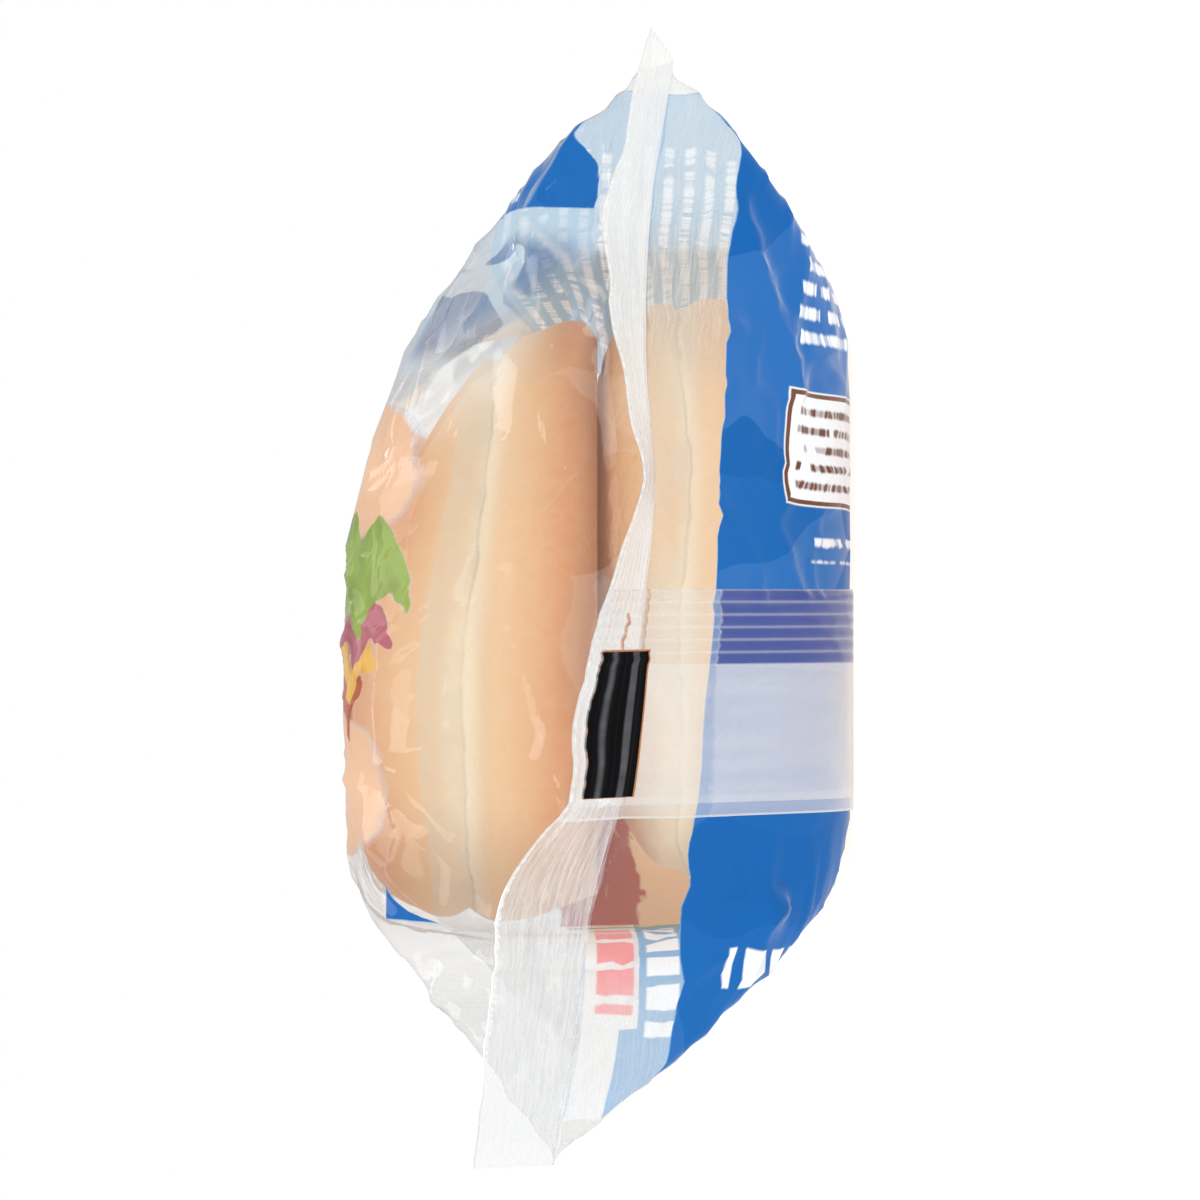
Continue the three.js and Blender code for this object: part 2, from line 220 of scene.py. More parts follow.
def section(end, distance):
    """A ring of (x, z) points from the middle of the back panel, over the +X side, and back to it."""
    closed = closure(distance)
    corners = section_corners(end, closed)
    between_stacks = math.cos(min(distance / (BUN_DIAMETER / 2), 1) * math.pi / 2) ** 2
    fade, dip = (1 - closed) ** 2, WAIST_DIP * between_stacks
    side_dome = (DOME["side"] - SIDE_DIP * between_stacks) * fade
    names = ("backPlus", "frontPlus", "frontMinus", "backMinus")
    domes = (side_dome, (DOME["front"] - dip) * fade, side_dome, 0.0)
    steps = (SIDE_STEPS, PANEL_STEPS, SIDE_STEPS, PANEL_STEPS)
    stretches = []
    for k, (dome, count) in enumerate(zip(domes, steps)):
        a, b = corners[names[k]], corners[names[(k + 1) % 4]]
        length = math.dist(a, b)
        outward = np.array((b[1] - a[1], a[0] - b[0])) / length
        kind = 1 if count == SIDE_STEPS else 0
        cuts = []
        for name in (names[k], names[(k + 1) % 4]):
            wanted = CORNER_ROUNDING[name][kind]
            wanted += (CREASE_ROUNDING - wanted) * math.sqrt(closed)
            cuts.append(min(wanted, 0.42 * length) / length)
        w = np.linspace(cuts[0], 1 - cuts[1], count + 1)[:, None]
        tuck = TUCK * between_stacks * np.exp(-(((w - TUCK_PLACE) / TUCK_WIDTH) ** 2)) if kind else 0.0
        stretches.append(a + (b - a) * w + outward * (dome * 4 * w * (1 - w) - tuck))
    points = []
    t = np.linspace(0, 1, CORNER_STEPS + 1)[1:-1, None]
    for k, stretch in enumerate(stretches):
        corner, start = corners[names[(k + 1) % 4]], stretches[(k + 1) % 4][0]
        points += [stretch, (1 - t) ** 2 * stretch[-1] + 2 * t * (1 - t) * corner + t * t * start]
    points = np.concatenate(points)
    to_middle = PANEL_STEPS // 2 + CORNER_STEPS
    points = np.roll(points, to_middle, axis=0)
    return np.concatenate((points, points[:1]))


COLUMNS = 2 * (PANEL_STEPS + SIDE_STEPS) + 4 * CORNER_STEPS
QUARTERS = (0, COLUMNS // 4, COLUMNS // 2, 3 * COLUMNS // 4, COLUMNS)  # back, +X side, front, -X side, back
GIRTH = 395.3  # the width of the film's flat sheet


def girth_places(points):
    """Where each point lies round the film: 0 over the front panel's middle, + towards the +X side."""
    place = np.concatenate(([0.0], np.cumsum(np.hypot(*np.diff(points, axis=0).T))))
    front = slice(QUARTERS[1], QUARTERS[3] + 1)
    middle = np.interp(0.0, points[front, 0][::-1], place[front][::-1])
    return (middle - place) * GIRTH / place[-1]


def root_wave(end, x):
    return along(ENDS[end]["wave"], x)


def drawn_back(x, closed):
    return SEAL_BOW * closed**2 * (x / HALF_SEAL) ** 2


def crease_height(end, side, x, closed):
    """How high the broad creases stand at a place of the sloping film."""
    slope = STACK_HEIGHT / 2 + (SEAL_Y - SHOULDER_Y) / 2
    here = np.stack((x, np.full_like(x, closed * slope)), -1)
    height = np.zeros_like(x)
    for crease_end, crease_side, start, stop, width, tall in CREASES:
        if (crease_end, crease_side) != (end, side):
            continue
        a, b = np.array((start[0], start[1] * slope)), np.array((stop[0], stop[1] * slope))
        t = np.clip((here - a) @ (b - a) / ((b - a) @ (b - a)), 0, 1)[:, None]
        away = np.linalg.norm(here - (a + (b - a) * t), axis=1)
        height += tall * np.exp(-((away / width) ** 2))
    return height


def film_ring(end, distance):
    """A ring of the film as (x, y, z), with the root's wave and the broad creases."""
    closed = closure(distance)
    x, z = section(end, distance).T
    upper = np.zeros(COLUMNS + 1, bool)
    upper[QUARTERS[1] : QUARTERS[3] + 1] = True
    stand = np.where(upper, crease_height(end, "front", x, closed), crease_height(end, "back", x, closed))
    stand *= math.sqrt(0.5) * 4 * closed * (1 - closed)
    y = ENDS[end]["sign"] * (distance + stand - drawn_back(x, closed))
    z = z + root_wave(end, x) * closed**2 + np.where(upper, stand, -stand)
    return np.stack((x, y, z), -1)


def fin_lean(end, x):
    """The fin's lean in radians, with the small ruffles that its crimping leaves."""
    ruffle = np.array([noise.noise(Vector((v / 15.0, ENDS[end]["seed"], 0))) for v in np.atleast_1d(x)])
    return np.radians(along(ENDS[end]["lean"], x) + 9.0 * ruffle)


def fin_middles(end, root, reaches):
    """The fin's middle surface for points on its root, at each reach, with the way its upper face looks."""
    sign, flare, tip = ENDS[end]["sign"], ENDS[end]["flare"], ENDS[end]["tips"]["Plus"][0]
    lean = fin_lean(end, root[:, 0])
    sideways = flare / FIN_WIDTH * smoothstep(root[:, 0], tip - FLARE_WIDTH, tip)
    ragged = 1 + np.array([RAGGED_EDGE * noise.noise(Vector((x / 4.0, 5.0, flare))) for x in root[:, 0]])
    middle, before, made = root.copy(), 0.0, []
    for reach in reaches:
        bent = lean * min((before + reach) / 2 / FIN_BEND, 1)
        out = np.stack((sideways, sign * np.cos(bent), np.sin(bent)), -1)
        middle = middle + out * (reach - before) * ragged[:, None]
        facing = lean * min(reach / FIN_BEND, 1)
        up = np.stack((np.zeros_like(facing), -sign * np.sin(facing), np.cos(facing)), -1)
        made.append((middle, up))
        before = reach
    return made


def fin_rings(end):
    root = film_ring(end, SEAL_Y)
    index = np.arange(COLUMNS + 1)
    root = (root + root[(2 * QUARTERS[1] - index) % COLUMNS]) / 2
    rows = FIN_ROWS[end]
    reaches = [FIN_WIDTH * (k + 1) / rows for k in range(rows)]
    side = np.where((index > QUARTERS[1]) & (index < QUARTERS[3]), 1.0, -1.0)
    side[[QUARTERS[1], QUARTERS[3]]] = 0
    rings = []
    for reach, (middle, up) in zip(reaches, fin_middles(end, root, reaches)):
        crimp = CRIMP_DEPTH * math.sin(2 * math.pi * reach / CRIMP_PITCH)
        half = 0.0 if reach >= FIN_WIDTH - 1e-6 else FIN_GAP / 2
        rings.append(middle + up * (crimp + half * side)[:, None])
    return rings, reaches


def crumple(u, v, cell, seed):
    """Facets with sharp ridges between them, from about -1 to 1, as in crushed film."""
    near, far = noise.voronoi(Vector((u / cell, v / (1.4 * cell), seed)))[0][:2]
    ridge = max(0.0, 1 - (far - near) / 0.22)
    return ridge * ridge - 0.9 * near


def pleats(end, u, short):
    """Short pleats that run out from the fin's root, at seeded places round the film."""
    draw = random.Random(ENDS[end]["seed"])
    height = np.zeros_like(u)
    place = u.min()
    while place < u.max():
        place += draw.uniform(5, 13)
        tall, width, reach = draw.uniform(-0.8, 0.9), draw.uniform(0.9, 2.0), draw.uniform(6, 26)
        lean = draw.uniform(-0.35, 0.35)
        height += tall * np.exp(-(((u - place - lean * short) / width) ** 2)) * math.exp(-short / reach)
    return height


def film_points():
    """Every grid point of the film and its place on it: (rows, columns, 3) and (rows, columns, 2), in mm."""
    rings, along_pack, places = [], [], []

    def add(end, points, distance, flat):
        rings.append(points)
        along_pack.append(ENDS[end]["sign"] * distance)
        places.append(girth_places(flat))

    for end in ("near", "far"):
        fins, reaches = fin_rings(end)
        seal = section(end, SEAL_Y)
        slope = [
            SHOULDER_Y + (SEAL_Y - SHOULDER_Y) * (k + 1) / SLOPE_ROWS[end] for k in range(SLOPE_ROWS[end])
        ]
        if end == "near":
            for points, reach in reversed(list(zip(fins, reaches))):
                add(end, points, SEAL_Y + reach, seal)
            for distance in reversed(slope):
                add(end, film_ring(end, distance), distance, section(end, distance))
            for k in range(BODY_ROWS + 1):
                y = SHOULDER_Y * (2 * k / BODY_ROWS - 1)
                side = "near" if y < 0 else "far"
                add(side, film_ring(side, abs(y)), abs(y), section(side, abs(y)))
        else:
            for distance in slope:
                add(end, film_ring(end, distance), distance, section(end, distance))
            for points, reach in zip(fins, reaches):
                add(end, points, SEAL_Y + reach, seal)
    points = np.array(rings)
    v = np.repeat(np.array(along_pack)[:, None], COLUMNS + 1, 1)
    return points, np.stack((np.array(places), v), -1)


def normals_of(points):
    """Outward normals of the film's grid, which is closed round the girth."""
    across = np.empty_like(points)
    across[:, 1:-1] = points[:, 2:] - points[:, :-2]
    across[:, 0] = across[:, -1] = points[:, 1] - points[:, -2]
    lengthwise = np.gradient(points, axis=0)
    normal = np.cross(lengthwise, across)
    return normal / np.maximum(np.linalg.norm(normal, axis=-1, keepdims=True), 1e-9)


def wrinkle_heights(places):
    """How far the wrinkles lift each grid point, in mm."""
    u, v = places[..., 0], places[..., 1]
    distance = np.abs(v)
    slope = smoothstep(distance, 70, 100) * (1 - smoothstep(distance, SEAL_Y - 3, SEAL_Y + 2))
    body = 1 - smoothstep(distance, 80, 104)
    half = np.abs(u).max()
    edge = np.abs(np.abs(u) - HALF_WIDTH)
    under_seam = 1 - smoothstep(np.abs(u + half - 22), 22, 34)  # the film is flat behind the seam's layers
    lift = np.zeros_like(u)
    for row in range(u.shape[0]):
        end = "near" if v[row, 0] < 0 else "far"
        if slope[row, 0] > 0.01:
            short = SEAL_Y - distance[row, 0]
            lift[row] += pleats(end, u[row], max(short, 0.0)) * slope[row, 0]
        big = np.array([crumple(a, b, 26.0, 1.5) for a, b in zip(u[row], v[row])])
        small = np.array([crumple(a, b, 11.0, 7.5) for a, b in zip(u[row], v[row])])
        along_edge = np.exp(-((edge[row] / 16) ** 2))
        lift[row] += big * (1.3 * slope[row] + (0.35 + 0.6 * along_edge) * body[row])
        lift[row] += small * (0.65 * slope[row] + (0.12 + 0.2 * along_edge) * body[row])
    lift *= 1 - 0.85 * under_seam
    lift[:, -1] = lift[:, 0]
    return lift


class FilmShape:
    """The film's grid, worked out once, and the heights of its front and back over the table."""

    def __init__(self):
        self.smooth, self.places = film_points()
        lift = wrinkle_heights(self.places)
        self.points = self.smooth + normals_of(self.smooth) * lift[..., None]
        self.points[..., 2] = np.maximum(self.points[..., 2], FLOOR_CLEARANCE)
        self.x = np.linspace(-60, 60, 61)
        self.distance = np.linspace(0, SEAL_Y, 153)
        self.front = np.zeros((153, 61))
        self.back = np.zeros((153, 61))
        for k, distance in enumerate(self.distance):
            ring = film_ring("near", distance)
            front = ring[QUARTERS[1] : QUARTERS[3] + 1][::-1]
            back = np.concatenate((ring[QUARTERS[3] :], ring[1 : QUARTERS[1] + 1]))
            self.front[k] = np.interp(self.x, front[:, 0], front[:, 2])
            self.back[k] = np.interp(self.x, back[:, 0], back[:, 2])

    def height(self, table, x, y):
        i = np.clip((np.asarray(x) + 60) / 2, 0, 59.999)
        j = np.clip(np.abs(y), 0, SEAL_Y - 0.001)
        a, b = i.astype(int), j.astype(int)
        s, t = i - a, j - b
        low = table[b, a] * (1 - s) + table[b, a + 1] * s
        high = table[b + 1, a] * (1 - s) + table[b + 1, a + 1] * s
        return low * (1 - t) + high * t


def film_shape():
    """The one FilmShape, kept between the operators."""
    if not hasattr(film_shape, "made"):
        film_shape.made = FilmShape()
    return film_shape.made


# ---------------------------------------------------------------------------------------------------------
# Shader maths.


class Wire:
    """A shader socket that takes part in Python expressions."""

    def __init__(self, finish, socket):
        self.finish, self.socket = finish, socket

    def _math(self, operation, *values):
        return self.finish.math(operation, *values)

    def __add__(self, other):
        return self._math("ADD", self, other)

    def __radd__(self, other):
        return self._math("ADD", other, self)

    def __sub__(self, other):
        return self._math("SUBTRACT", self, other)

    def __rsub__(self, other):
        return self._math("SUBTRACT", other, self)

    def __mul__(self, other):
        return self._math("MULTIPLY", self, other)

    def __rmul__(self, other):
        return self._math("MULTIPLY", other, self)

    def __truediv__(self, other):
        return self._math("DIVIDE", self, other)

    def __pow__(self, other):
        return self._math("POWER", self, other)

    def __abs__(self):
        return self._math("ABSOLUTE", self)

    def __neg__(self):
        return self._math("MULTIPLY", self, -1)

    def __lt__(self, other):
        return self._math("LESS_THAN", self, other)

    def either(self, other):
        return self._math("MAXIMUM", self, other)

    def least(self, other):
        return self._math("MINIMUM", self, other)

    def floor(self):
        return self._math("FLOOR", self)

    def part(self):
        return self._math("FRACT", self)

    def sine(self):
        return self._math("SINE", self)

    def root(self):
        return self._math("SQRT", self)


class Finish:
    """A material and the one way in which nodes are added to it."""

    def __init__(self, name):
        self.material = bpy.data.materials.new(name)
        self.material.use_nodes = True
        self.tree = self.material.node_tree
        self.tree.nodes.clear()
        self.output = self.tree.nodes.new("ShaderNodeOutputMaterial")

    def node(self, kind, settings=None, values=None, out=0):
        """Adds a node: first its settings, then the values or links of its sockets. Returns one output."""
        node = self.tree.nodes.new(kind)
        for name, setting in (settings or {}).items():
            setattr(node, name, setting)
        for name, value in (values or {}).items():
            socket = node.inputs[name]
            if isinstance(value, Wire):
                self.tree.links.new(value.socket, socket)
            else:
                socket.default_value = value
        return Wire(self, node.outputs[out])

    def math(self, operation, *values):
        return self.node("ShaderNodeMath", {"operation": operation}, dict(enumerate(values)))

    def rise(self, value, low, high):
        """0 below low and 1 above high, smooth between them."""
        return self.node(
            "ShaderNodeMapRange",
            {"interpolation_type": "SMOOTHSTEP"},
            {"Value": value, "From Min": low, "From Max": high},
        )

    def band(self, value, low, high, soft):
        return self.rise(value, low - soft, low + soft) * (1 - self.rise(value, high - soft, high + soft))

    def mix(self, factor, below, above):
        """The colour below, and above where factor is 1."""
        values = {0: factor, 6: below, 7: above}
        for key in (6, 7):
            if not isinstance(values[key], Wire):
                values[key] = (*values[key], 1)
        return self.node("ShaderNodeMix", {"data_type": "RGBA"}, values, out=2)

    def place(self, source="Object"):
        return self.node("ShaderNodeTexCoord", out={"Object": 3, "UV": 2}[source])

    def parts(self, vector):
        split = self.node("ShaderNodeSeparateXYZ", values={0: vector})
        node = split.socket.node
        return tuple(Wire(self, node.outputs[k]) for k in range(3))

    def joined(self, x, y, z=0.0):
        return self.node("ShaderNodeCombineXYZ", values={0: x, 1: y, 2: z})

    def noise(self, vector, scale, detail=2.0, roughness=0.5, distortion=0.0):
        return self.node(
            "ShaderNodeTexNoise",
            values={
                "Vector": vector, "Scale": scale, "Detail": detail, "Roughness": roughness,
                "Distortion": distortion,
            },
        )

    def bump(self, height, distance, strength):
        values = {"Height": height, "Distance": distance, "Strength": strength}
        return self.node("ShaderNodeBump", values=values)

    def blend(self, factor, below, above):
        return self.node("ShaderNodeMixShader", values={0: factor, 1: below, 2: above})

    def done(self, shader):
        self.tree.links.new(shader.socket, self.output.inputs["Surface"])
        return self.material


def linear(red, green, blue):
    """A colour given as the photograph shows it, from 0 to 255, in the renderer's own linear values."""
    def channel(value):
        value /= 255
        return value / 12.92 if value <= 0.04045 else ((value + 0.055) / 1.055) ** 2.4

    return channel(red), channel(green), channel(blue)


# ---------------------------------------------------------------------------------------------------------
# Properties.


def colour_property(name, description, default):
    return FloatVectorProperty(
        name=name, description=description, subtype="COLOR", size=3, min=0, max=1, default=linear(*default)
    )


class BunSettings(bpy.types.PropertyGroup):
    diameter: FloatProperty(
        name="Diameter", description="Across a bun", default=0.1165, min=0.08, max=0.118, unit="LENGTH"
    )
    height: FloatProperty(
        name="Height", description="From heel to crown", default=0.0478, min=0.03, max=0.048, unit="LENGTH"
    )
    groove: FloatProperty(
        name="Waist groove", description="Depth of the groove round the waist", default=0.0016, min=0,
        max=0.004, unit="LENGTH",
    )
    rim: colour_property("Rim", "The browner edge of the crown and of the heel", (222, 154, 104))
    crust: colour_property("Crust", "The golden crust further from the waist", (236, 184, 134))
    # Painted shade: the upper buns' heels and every bun's ends are darkened towards this colour.
    deep: colour_property("Deep", "The shaded heels and ends", (142, 98, 72))
    shade: colour_property("Shade", "The greyer patches above the waist", (226, 204, 174))
    face: colour_property("Side", "The paler side above and below the waist", (242, 201, 156))
    waist: colour_property("Waist", "The soft pale band round the waist", (247, 226, 194))


class FilmSettings(bpy.types.PropertyGroup):
    thickness: FloatProperty(
        name="Thickness", description="Thickness of the film wall", default=0.00012, min=0.00003,
        max=0.0002, precision=5, unit="LENGTH",
    )
    veil: FloatProperty(
        name="Veil", description="How milky the clear film is", default=0.02, min=0, max=1, subtype="FACTOR"
    )
    blue: colour_property("Blue", "The deep blue of the back and the sides", (0, 93, 169))
    # Painted light: some facets of the deep blue are lit lighter, towards this colour.
    sheen: colour_property("Sheen", "The lighter facets of the deep blue", (40, 120, 196))
    pale_blue: colour_property("Pale blue", "The +X side's print seen from inside", (158, 188, 212))
    faded: colour_property("Faded", "The blotches in the pale blue", (176, 194, 206))
    light_blue: colour_property("Light blue", "The -X side's print seen from inside", (124, 168, 208))
    sky: colour_property("Sky", "The pale top of the front panel", (186, 206, 221))
    blot: colour_property("Blots", "The darker blots in the pale top of the front", (76, 108, 152))
    peach: colour_property("Peach", "The printed bread", (237, 193, 158))
    face: colour_property("Beige", "The printed bread of the side", (232, 200, 164))
    leaf: colour_property("Leaf", "The printed salad", (140, 170, 80))
    onion: colour_property("Onion", "The printed onion", (176, 96, 112))
    cheese: colour_property("Cheese", "The printed cheese", (228, 178, 84))
    meat: colour_property("Meat", "The printed patty", (178, 84, 58))
    red: colour_property("Red", "The red block of the -X side", (240, 62, 78))
    mark: colour_property("Mark", "The registration mark", (14, 14, 16))


class StageSettings(bpy.types.PropertyGroup):
    distance: FloatProperty(
        name="Camera distance", description="From the camera to the near buns' middle plane",
        default=1.6, min=0.5, max=5, unit="LENGTH",
    )
    pixel: FloatProperty(
        name="Pixel", description="What one pixel of a 1200 pixel frame covers at that plane",
        default=0.000195, min=0.0001, max=0.001, precision=6, unit="LENGTH",
    )
    eye_height: FloatProperty(
        name="Eye height", description="The camera's height over the table", default=0.0484, min=0.01,
        max=1, unit="LENGTH",
    )
    brightness: FloatProperty(
        name="Surroundings", description="Brightness of the white surroundings", default=1.0, min=0, max=5
    )
    fill: FloatProperty(
        name="Fill light", description="How much light they cast", default=0.88, min=0, max=5
    )
    reflected: FloatProperty(
        name="Reflected surroundings", description="How bright they are in reflections", default=0.8, min=0,
        max=5,
    )


class PackSettings(bpy.types.PropertyGroup):
    bun: PointerProperty(type=BunSettings)
    film: PointerProperty(type=FilmSettings)
    stage: PointerProperty(type=StageSettings)
    seed: IntProperty(name="Seed", description="Changes the buns' unevenness and the crumbs", default=4)


def settings():
    return bpy.context.scene.bun_pack


# ---------------------------------------------------------------------------------------------------------
# Making pieces.


def finished(shape, name, materials):
    """Turns a bmesh into a piece of the pack that rides on its body."""
    mesh = bpy.data.meshes.new(name)
    shape.to_mesh(mesh)
    shape.free()
    for material in materials:
        mesh.materials.append(material)
    mesh.polygons.foreach_set("use_smooth", [True] * len(mesh.polygons))
    piece = bpy.data.objects.new(name, mesh)
    bpy.context.scene.collection.objects.link(piece)
    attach(piece, BODY)
    return piece


def only_seen_by_camera(piece):
    """Thin clear film: it takes nothing from the light inside the pack."""
    piece.visible_shadow = piece.visible_diffuse = piece.visible_glossy = False


# --- The buns ---

BUN_PLACES = (
    # name, middle of its underside in mm, turn about Z in degrees, how far its +X edge is pressed down, how
    # square its section is at the +X and the -X edge, and how far up its waist runs
    ("bun_near_upper", (-3.6, -58.0, 48.9), 20.0, 0.26, (2.0, 5.5), 0.52),
    ("bun_near_lower", (0.5, -58.5, 1.6), 140.0, 0.0, (7.0, 3.4), 0.66),
    ("bun_far_upper", (-1.0, 58.0, 49.4), 250.0, 0.22, (2.4, 5.5), 0.52),
    ("bun_far_lower", (1.0, 58.0, 2.0), 75.0, 0.0, (8.0, 4.0), 0.62),
)
BUN_STEPS = 160
BUN_RISE_STEPS = 56
FILM_MARGIN = 1.6  # the buns stay this far inside the film
SLACK_MARGIN = 1.6  # and this much further where it is slack and more wrinkled, towards +X
HEEL_ROUNDING, HEEL_RISE = 4.8, 2.6  # how far the heel's lower edge is drawn in, and how quickly that ends


def make_bun(name, middle, turn, pressed, powers, waist_share, material):
    bun = settings().bun
    radius, height, groove = bun.diameter / 2 / MM, bun.height / MM, bun.groove / MM
    waist = waist_share * height
    shape = bmesh.new()
    angles = [math.pi / 2 * k / BUN_RISE_STEPS for k in range(BUN_RISE_STEPS + 1)]
    line = [shape.verts.new((0, 0, 0))]
    line += [shape.verts.new((math.cos(a), 0, math.sin(a))) for a in angles[:-1]]
    line.append(shape.verts.new((0, 0, 1)))
    edges = [shape.edges.new(pair) for pair in zip(line, line[1:])]
    bmesh.ops.spin(
        shape, geom=line + edges, cent=(0, 0, 0), axis=(0, 0, 1), angle=2 * math.pi, steps=BUN_STEPS,
        use_merge=True, use_duplicate=False,
    )
    bmesh.ops.remove_doubles(shape, verts=shape.verts, dist=1e-5)
    bmesh.ops.recalc_face_normals(shape, faces=shape.faces)
    film = film_shape()
    seed = Vector((turn, settings().seed, 0))
    spin = math.radians(turn)
    for vert in shape.verts:
        flat = vert.co.xy.length
        rise = math.atan2(vert.co.z, flat)
        way = vert.co.xy.normalized() if flat > 1e-6 else Vector((0, 0))
        power = powers[0] + (powers[1] - powers[0]) * (0.5 - 0.5 * way.x) ** 1.5
        on_heel = flat < 0.999 and vert.co.z < 1e-6
        r = radius * (flat if on_heel else max(math.cos(rise), 0.0) ** (2 / power))
        z = 0.0 if on_heel else height * math.sin(rise) ** (2 / power)
        if not on_heel:  # the heel's lower edge is round
            r -= HEEL_ROUNDING * math.exp(-z / HEEL_RISE)
        place = Vector((way.x * math.cos(spin) - way.y * math.sin(spin),
                        way.x * math.sin(spin) + way.y * math.cos(spin), 0))
        swell = noise.noise(place * 1.7 + seed) * 1.5
        swell += noise.noise(Vector((*place.xy * 3.2, z / 9)) + seed) * 0.5
        ripple = noise.noise(place * 2.6 - seed) * 1.8
        off = z - waist - ripple
        cut = groove * math.exp(-((off / 2.2) ** 2)) - 0.5 * groove * math.exp(-(((abs(off) - 6) / 3) ** 2))
        r += (swell - cut) * min(flat * 1.2, 1) if not on_heel else swell * flat
        dent = noise.noise(Vector((way.x * r, way.y * r, 40)) / 22 + seed) * 0.5
        z += dent * math.sin(rise) if not on_heel else 0
        x, y = middle[0] + way.x * r, middle[1] + way.y * r
        z *= 1 - pressed * float(smoothstep(x, -15, 62))
        vert.co = x, y, middle[2] + z
    soft = 1.2
    for vert in shape.verts:
        x, y, z = vert.co
        margin = FILM_MARGIN + SLACK_MARGIN * float(smoothstep(x, 8, 40))
        top = float(film.height(film.front, x, y)) - margin
        low = float(film.height(film.back, x, y)) + FILM_MARGIN
        if z > top - soft:
            z = top - soft + soft * math.tanh((z - top + soft) / soft)
        if z < low + soft:
            z = low + soft - soft * math.tanh((low + soft - z) / soft)
        vert.co.z = z
    bmesh.ops.scale(shape, vec=(MM, MM, MM), verts=shape.verts)
    return finished(shape, name, [material])


PAINTED_BREAD_GLOW = 0.12  # painted glow: the bread emits its own colour, so that the gaps between the buns aren't dark


def bun_material(name, middle, pressed, waist_share, heel_shade):
    """Soft bread: a golden crown, a paler side and a pale uneven band round the waist, with painted shade on
    the upper buns' heels and on the ends, and a painted glow.
    """
    bun = settings().bun
    finish = Finish(name)
    place = finish.place("Object")
    x, y, z = finish.parts(place)
    broad = finish.noise(place, 24.0, 1.0, 0.55)
    fine = finish.noise(place, 380.0, 2.0, 0.6)
    height = (z * 1000 - middle[2]) / (1 - pressed * finish.rise(x, -0.015, 0.062))
    off = height - waist_share * bun.height / MM + (broad - 0.5) * 7
    away = abs(off) + (broad - 0.5) * 5
    tone = finish.mix(finish.rise(away, 0.5, 5.0), tuple(bun.waist), tuple(bun.face))
    tone = finish.mix(finish.rise(away, 4.0, 12.0), tone, tuple(bun.crust))
    tone = finish.mix(finish.rise(away, 10.0, 19.0), tone, tuple(bun.rim))
    patchy = finish.noise(place, 90.0, 2.0, 0.6)
    soft = finish.band(off + (patchy - 0.5) * 3, -0.2, 8.0, 0.4) * (patchy * 1.6 - 0.25)
    tone = finish.mix(soft, tone, tuple(bun.shade))
    tone = finish.mix((fine - 0.4) * 0.3, tone, tuple(bun.waist))
    step = finish.rise(off + (patchy - 0.5) * 3, -0.5, 0.4)
    normal = finish.bump(fine * 0.7 + patchy * 0.5 - step * 0.5, 0.0012, 0.6)
    # Painted shade: the upper buns' heels, where they lie on the lower buns, and every bun's ends across the
    # pack are darkened towards the deep colour.
    heel, ends = finish.rise(-off, 16.0, 25.0) * 0.5 * heel_shade, finish.rise(abs(x), 0.036, 0.058) * 0.4
    shaded = finish.mix(heel.either(ends), tone, tuple(bun.deep))
    # Painted glow: the bread emits its own shaded colour, and its base colour is darkened to make up for it.
    shader = finish.node(
        "ShaderNodeBsdfPrincipled",
        values={
            "Base Color": finish.mix(0.22, shaded, (0.0, 0.0, 0.0)), "Roughness": 0.62 + 0.2 * fine,
            "Normal": normal, "IOR": 1.4, "Emission Color": shaded, "Emission Strength": PAINTED_BREAD_GLOW,
        },
    )
    return finish.done(shader)


# --- The film ---


def make_film(outside, inside):
    """The bag's skin: a grid rolled round the pack, closed along the back and at both fins' edges."""
    film = film_shape()
    shape = bmesh.new()
    rolled_sheet(shape, film.points, film.places)
    bmesh.ops.remove_doubles(shape, verts=shape.verts, dist=1e-6)
    bmesh.ops.dissolve_degenerate(shape, edges=shape.edges, dist=1e-7)
    bmesh.ops.recalc_face_normals(shape, faces=shape.faces)
    piece = finished(shape, "film_bag", [outside, inside])
    wall = piece.modifiers.new("Wall", "SOLIDIFY")
    wall.thickness = settings().film.thickness
    wall.offset = -1
    wall.use_even_offset = False
    wall.material_offset = 1
    only_seen_by_camera(piece)
    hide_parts(NODE)
    return piece


CLEAR = (0.984, 0.985, 0.985, 1)  # what one face of clear film lets through
GLOSS_ROUGHNESS = 0.06


def clear_film(finish, opacity, colour, normal=None, gloss=0.0, glow=0.0, dull=None):
    """Clear film with ink on it: see-through where there is no ink, with a gloss over all of it.

    The glow is painted: the ink emits its own colour, in place of the light that comes through the ink from
    the other side. The gloss is less where it is dull.
    """
    clear = finish.node("ShaderNodeBsdfTransparent", values={"Color": CLEAR})
    ink_values = {"Base Color": colour, "Roughness": 0.5, "Specular IOR Level": 0.0}
    if normal is not None:
        ink_values["Normal"] = normal
    if glow:
        ink_values["Emission Color"] = colour
        ink_values["Emission Strength"] = glow
    film = finish.blend(opacity, clear, finish.node("ShaderNodeBsdfPrincipled", values=ink_values))
    if not gloss:
        return film
    shine = finish.node("ShaderNodeBsdfGlossy", values={"Roughness": GLOSS_ROUGHNESS, "Normal": normal})
    facing = finish.node("ShaderNodeLayerWeight", out=1)
    amount = gloss + 0.9 * facing**5
    return finish.blend(amount if dull is None else amount * (1 - dull), film, shine)


def film_relief(finish, place):
    """The fine crinkles of the film, as a bump."""
    x, y, z = finish.parts(place)
    stretched = finish.joined(x, y * 0.6, z)
    return finish.bump(finish.noise(stretched, 55.0, 2.0), 0.0012, 0.9)


PRINT_ENDS = 134.6  # the print stops this far from the middle, and the film is clear from there to the seal
EAR_PRINT = 8.0  # how much further it runs on the front
EAR_FOLD = (106.0, 117.0)  # between these places round the film it steps back to where it ends on the back
BLUE_TOP = 69.5  # the deep blue of the +X side starts here on the front
BLUE_BOTTOM = -109.0  # and ends here on the -X side
PALE_START = 37.0  # from here the clear front turns pale blue towards the deep blue
CELL = 21.0  # size of the facets of the crushed film
PRINT_EDGE = 0.3  # how soft a printed edge is
